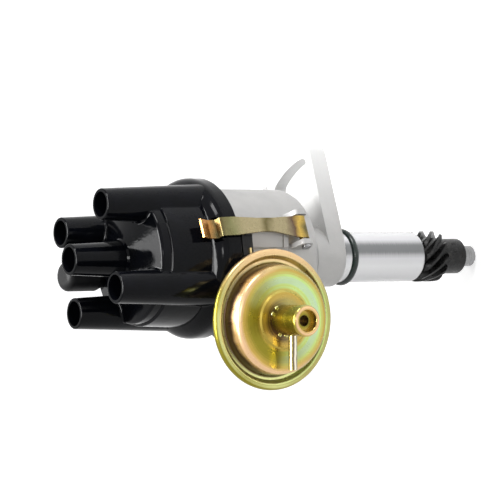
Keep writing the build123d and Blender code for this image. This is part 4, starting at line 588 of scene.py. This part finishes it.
# %% Black oxide on the gear
oxide = Finish("black_oxide_steel", 0.0, 0.3, (0.006, 0.006, 0.006))
oxide.shader.inputs["Specular IOR Level"].default_value = 0.3
oxide.mottle(0.004, [
    (0.4, (0.004, 0.004, 0.004)), (0.62, (0.012, 0.012, 0.012)), (0.75, (0.03, 0.028, 0.026))])
oxide.worn(0.002, 0.2, 0.42, 2.0)
oxide.grain(0.0007, 0.00006, 0.6)
dress(oxide.material, "drive_gear", "gear_pin")
print("gear dressed")

# %% Ground steel on the shaft and the small parts
def ground(name, shade, dark):
    """Ground steel with lines across its axis and a slow change of tone."""
    steel = Finish(name, 0.95, 0.25, (shade, shade, shade))
    place = steel.parts_of_place()
    tone = steel.math("ADD", steel.lathe_lines(place[2], 0.0006), steel.noise(0.005, 2.0))
    steel.color(steel.ramp(steel.span(tone, 0.6, 1.4), [
        (0.2, (dark, dark, dark)), (0.8, (shade, shade, shade * 1.02))]))
    steel.roughness(steel.span(tone, 0.6, 1.4, 0.2, 0.34))
    steel.bump(steel.noise(0.0006, 2.0, 0.5, (0.05, 0.05, 1.0)), 0.00003, 0.5)
    return steel.material


dress(ground("ground_steel", 0.36, 0.26), "drive_shaft", "clip_pins", "thrust_washers",
      "governor_plate", "governor_posts", "flyweight_a", "flyweight_b", "advance_sleeve",
      "signal_rotor", "pickup_core", "pull_rod", "diaphragm_cup")
dress(ground("bright_screws", 0.6, 0.45), "sleeve_screw", "base_plate_screws",
      "bracket_screws", "pickup_screws")
dress(ground("spring_steel", 0.3, 0.2), "plate_retainer", "governor_spring_a",
      "governor_spring_b", "vacuum_spring", "brush_spring")
print("steel dressed")

# %% Zinc on the plates inside the bowl
plate = Finish("zinc_plate", 0.95, 0.35, STRAW)
plate.mottle(0.008, [(0.3, GOLD), (0.45, STRAW), (0.55, LIME), (0.7, PALE_BLUE)])
plate.grain(0.001, 0.00003, 0.5)
dress(plate.material, "base_plate", "pickup_plate")
print("plates dressed")

# %% Bronze, brass and carbon
bronze = Finish("sintered_bronze", 0.9, 0.45, (0.5, 0.36, 0.18))
bronze.mottle(0.0005, [(0.35, (0.3, 0.2, 0.1)), (0.5, (0.5, 0.36, 0.18))])
bronze.grain(0.0004, 0.00005, 0.6)
dress(bronze.material, "upper_bush", "lower_bush")
brass = Finish("brass", 0.95, 0.3, (0.72, 0.55, 0.25))
brass.mottle(0.004, [(0.4, (0.72, 0.55, 0.25)), (0.65, (0.55, 0.38, 0.16))])
brass.grain(0.0006, 0.00002, 0.5, 2.0)
dress(brass.material, "terminal_tab", "tower_terminals", "centre_terminal", "rotor_blade")
carbon = Finish("pressed_carbon", 0.1, 0.7, (0.02, 0.02, 0.021))
carbon.mottle(0.0006, [(0.4, (0.015, 0.015, 0.016)), (0.65, (0.04, 0.04, 0.042))])
carbon.grain(0.0004, 0.00004, 0.6)
dress(carbon.material, "carbon_brush")
print("bronze, brass and carbon dressed")

# %% Moulded parts
def moulded(name, color, rough):
    """Moulded plastic with a faint mottle and a fine grain."""
    resin = Finish(name, 0.0, rough, color)
    resin.shader.inputs["Specular IOR Level"].default_value = 0.25
    pale = tuple(1.5 * share for share in color)
    resin.mottle(0.003, [(0.4, color), (0.7, pale)])
    resin.worn(0.002, rough - 0.06, rough + 0.08, 2.0)
    resin.grain(0.0006, 0.00004, 0.5)
    return resin.material


dress(moulded("black_moulding", (0.008, 0.008, 0.009), 0.36), "terminal_block",
      "igniter_module")
dress(moulded("rotor_moulding", (0.05, 0.018, 0.01), 0.3), "rotor_arm")
dress(moulded("coil_potting", (0.012, 0.013, 0.02), 0.4), "pickup_coil")
print("mouldings dressed")

# %% [markdown]
# ## Weld spots at the nipple
# The nipple is tacked to the can by resistance welds, and each leaves a small bead of
# metal squeezed out at its root. A bead is too small to be worth a solid. A sphere from
# bmesh, flattened against the face, stretched round the nipple and roughened by a few
# random pushes, is quick and closed, and it needs only 80 faces.

# %% Weld spots
NIPPLE_EDGE_R = 0.0073
SPOT_R = 0.0009
SPOT_STRETCH = (0.7, 1.0, 1.35)
SPOT_ANGLES = (38.0, 66.0, 158.0, 186.0, 278.0, 306.0)


def weld_spot(mesh, angle, pushes):
    """One bead of squeezed-out metal at the nipple's root."""
    bead = bmesh.ops.create_icosphere(mesh, subdivisions=2, radius=SPOT_R)["verts"]
    bmesh.ops.scale(mesh, verts=bead, vec=SPOT_STRETCH)
    for vert in bead:
        vert.co *= 1.0 + pushes.uniform(-0.1, 0.1)
    bmesh.ops.smooth_vert(mesh, verts=bead, factor=0.5, use_axis_x=True, use_axis_y=True,
                          use_axis_z=True)
    bmesh.ops.translate(mesh, verts=bead, vec=(0.0, NIPPLE_EDGE_R, 0.0))
    turn = Matrix.Rotation(math.radians(angle), 3, "X")
    bmesh.ops.rotate(mesh, verts=bead, cent=(0.0, 0.0, 0.0), matrix=turn)
    bmesh.ops.translate(mesh, verts=bead, vec=(CAN_FACE_X, CAN_Y, CAN_Z))


spots = bmesh.new()
pushes = random.Random(7)
for angle in SPOT_ANGLES:
    weld_spot(spots, angle, pushes)
bmesh.ops.recalc_face_normals(spots, faces=spots.faces)
for face in spots.faces:
    face.smooth = True
spot_mesh = bpy.data.meshes.new("weld_spots")
spots.to_mesh(spot_mesh)
spots.free()
weld_spots = bpy.data.objects.new("weld_spots", spot_mesh)
bpy.context.scene.collection.objects.link(weld_spots)
bead_metal = Finish("weld_metal", 0.95, 0.22, LIME)
bead_metal.mottle(0.001, [(0.4, STRAW), (0.6, LIME)], 2.0)
spot_mesh.materials.append(bead_metal.material)
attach(weld_spots, "body_casting")
print(len(SPOT_ANGLES), "weld spots,", len(spot_mesh.polygons), "faces")

# %% [markdown]
# ## Twins of the springs
# A coil spring is held at both ends, so no single body can carry it. The vacuum spring
# and the brush's spring stand against a wall; each twin of them is carried by its joint's
# parent body, and its length along the given axis is printed. The governor's springs
# hang between two posts that turn apart; each twin of them stays where it is, and the
# distance between its hooks is printed. Each spring here is a twin of the solid one,
# shown in its place.

# %% Spring twins and their lengths
HOOK_REACH = 0.00195


def twin(node):
    """A copy of a solid spring that is free to change its length."""
    spring = bpy.data.objects.new(node + "_coil", nodes[node].data.copy())
    bpy.context.scene.collection.objects.link(spring)
    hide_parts(node)
    return spring


def shorten(node, joint_name, axis):
    """Coil that is pressed against the wall at its far end along axis."""
    low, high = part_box(node)
    joint = next(j for j in frame["joints"] if j["name"] == joint_name)
    length = (high - low).dot(Vector(axis))
    spring = twin(node)
    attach(spring, joint["parent"])
    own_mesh(spring)
    return round(length / MM, 2)


def stretch(node, pivot_side):
    """Coil between a pivot post, on the -X or +X side, and the yoke's post."""
    low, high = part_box(node)
    middle = (low.z + high.z) / 2
    left_hook = Vector((low.x + HOOK_REACH, high.y - HOOK_REACH, middle))
    right_hook = Vector((high.x - HOOK_REACH, low.y + HOOK_REACH, middle))
    pivot, post = (left_hook, right_hook) if pivot_side < 0 else (right_hook, left_hook)
    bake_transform(twin(node))
    return round((post - pivot).length / MM, 2)


print("coils", shorten("vacuum_spring", "vacuum_pull", (1.0, 0.0, 0.0)), "and",
      shorten("brush_spring", "brush_slide", (0.0, 0.0, 1.0)), "mm long")
print("between the posts", stretch("governor_spring_a", -1), "and",
      stretch("governor_spring_b", 1), "mm")
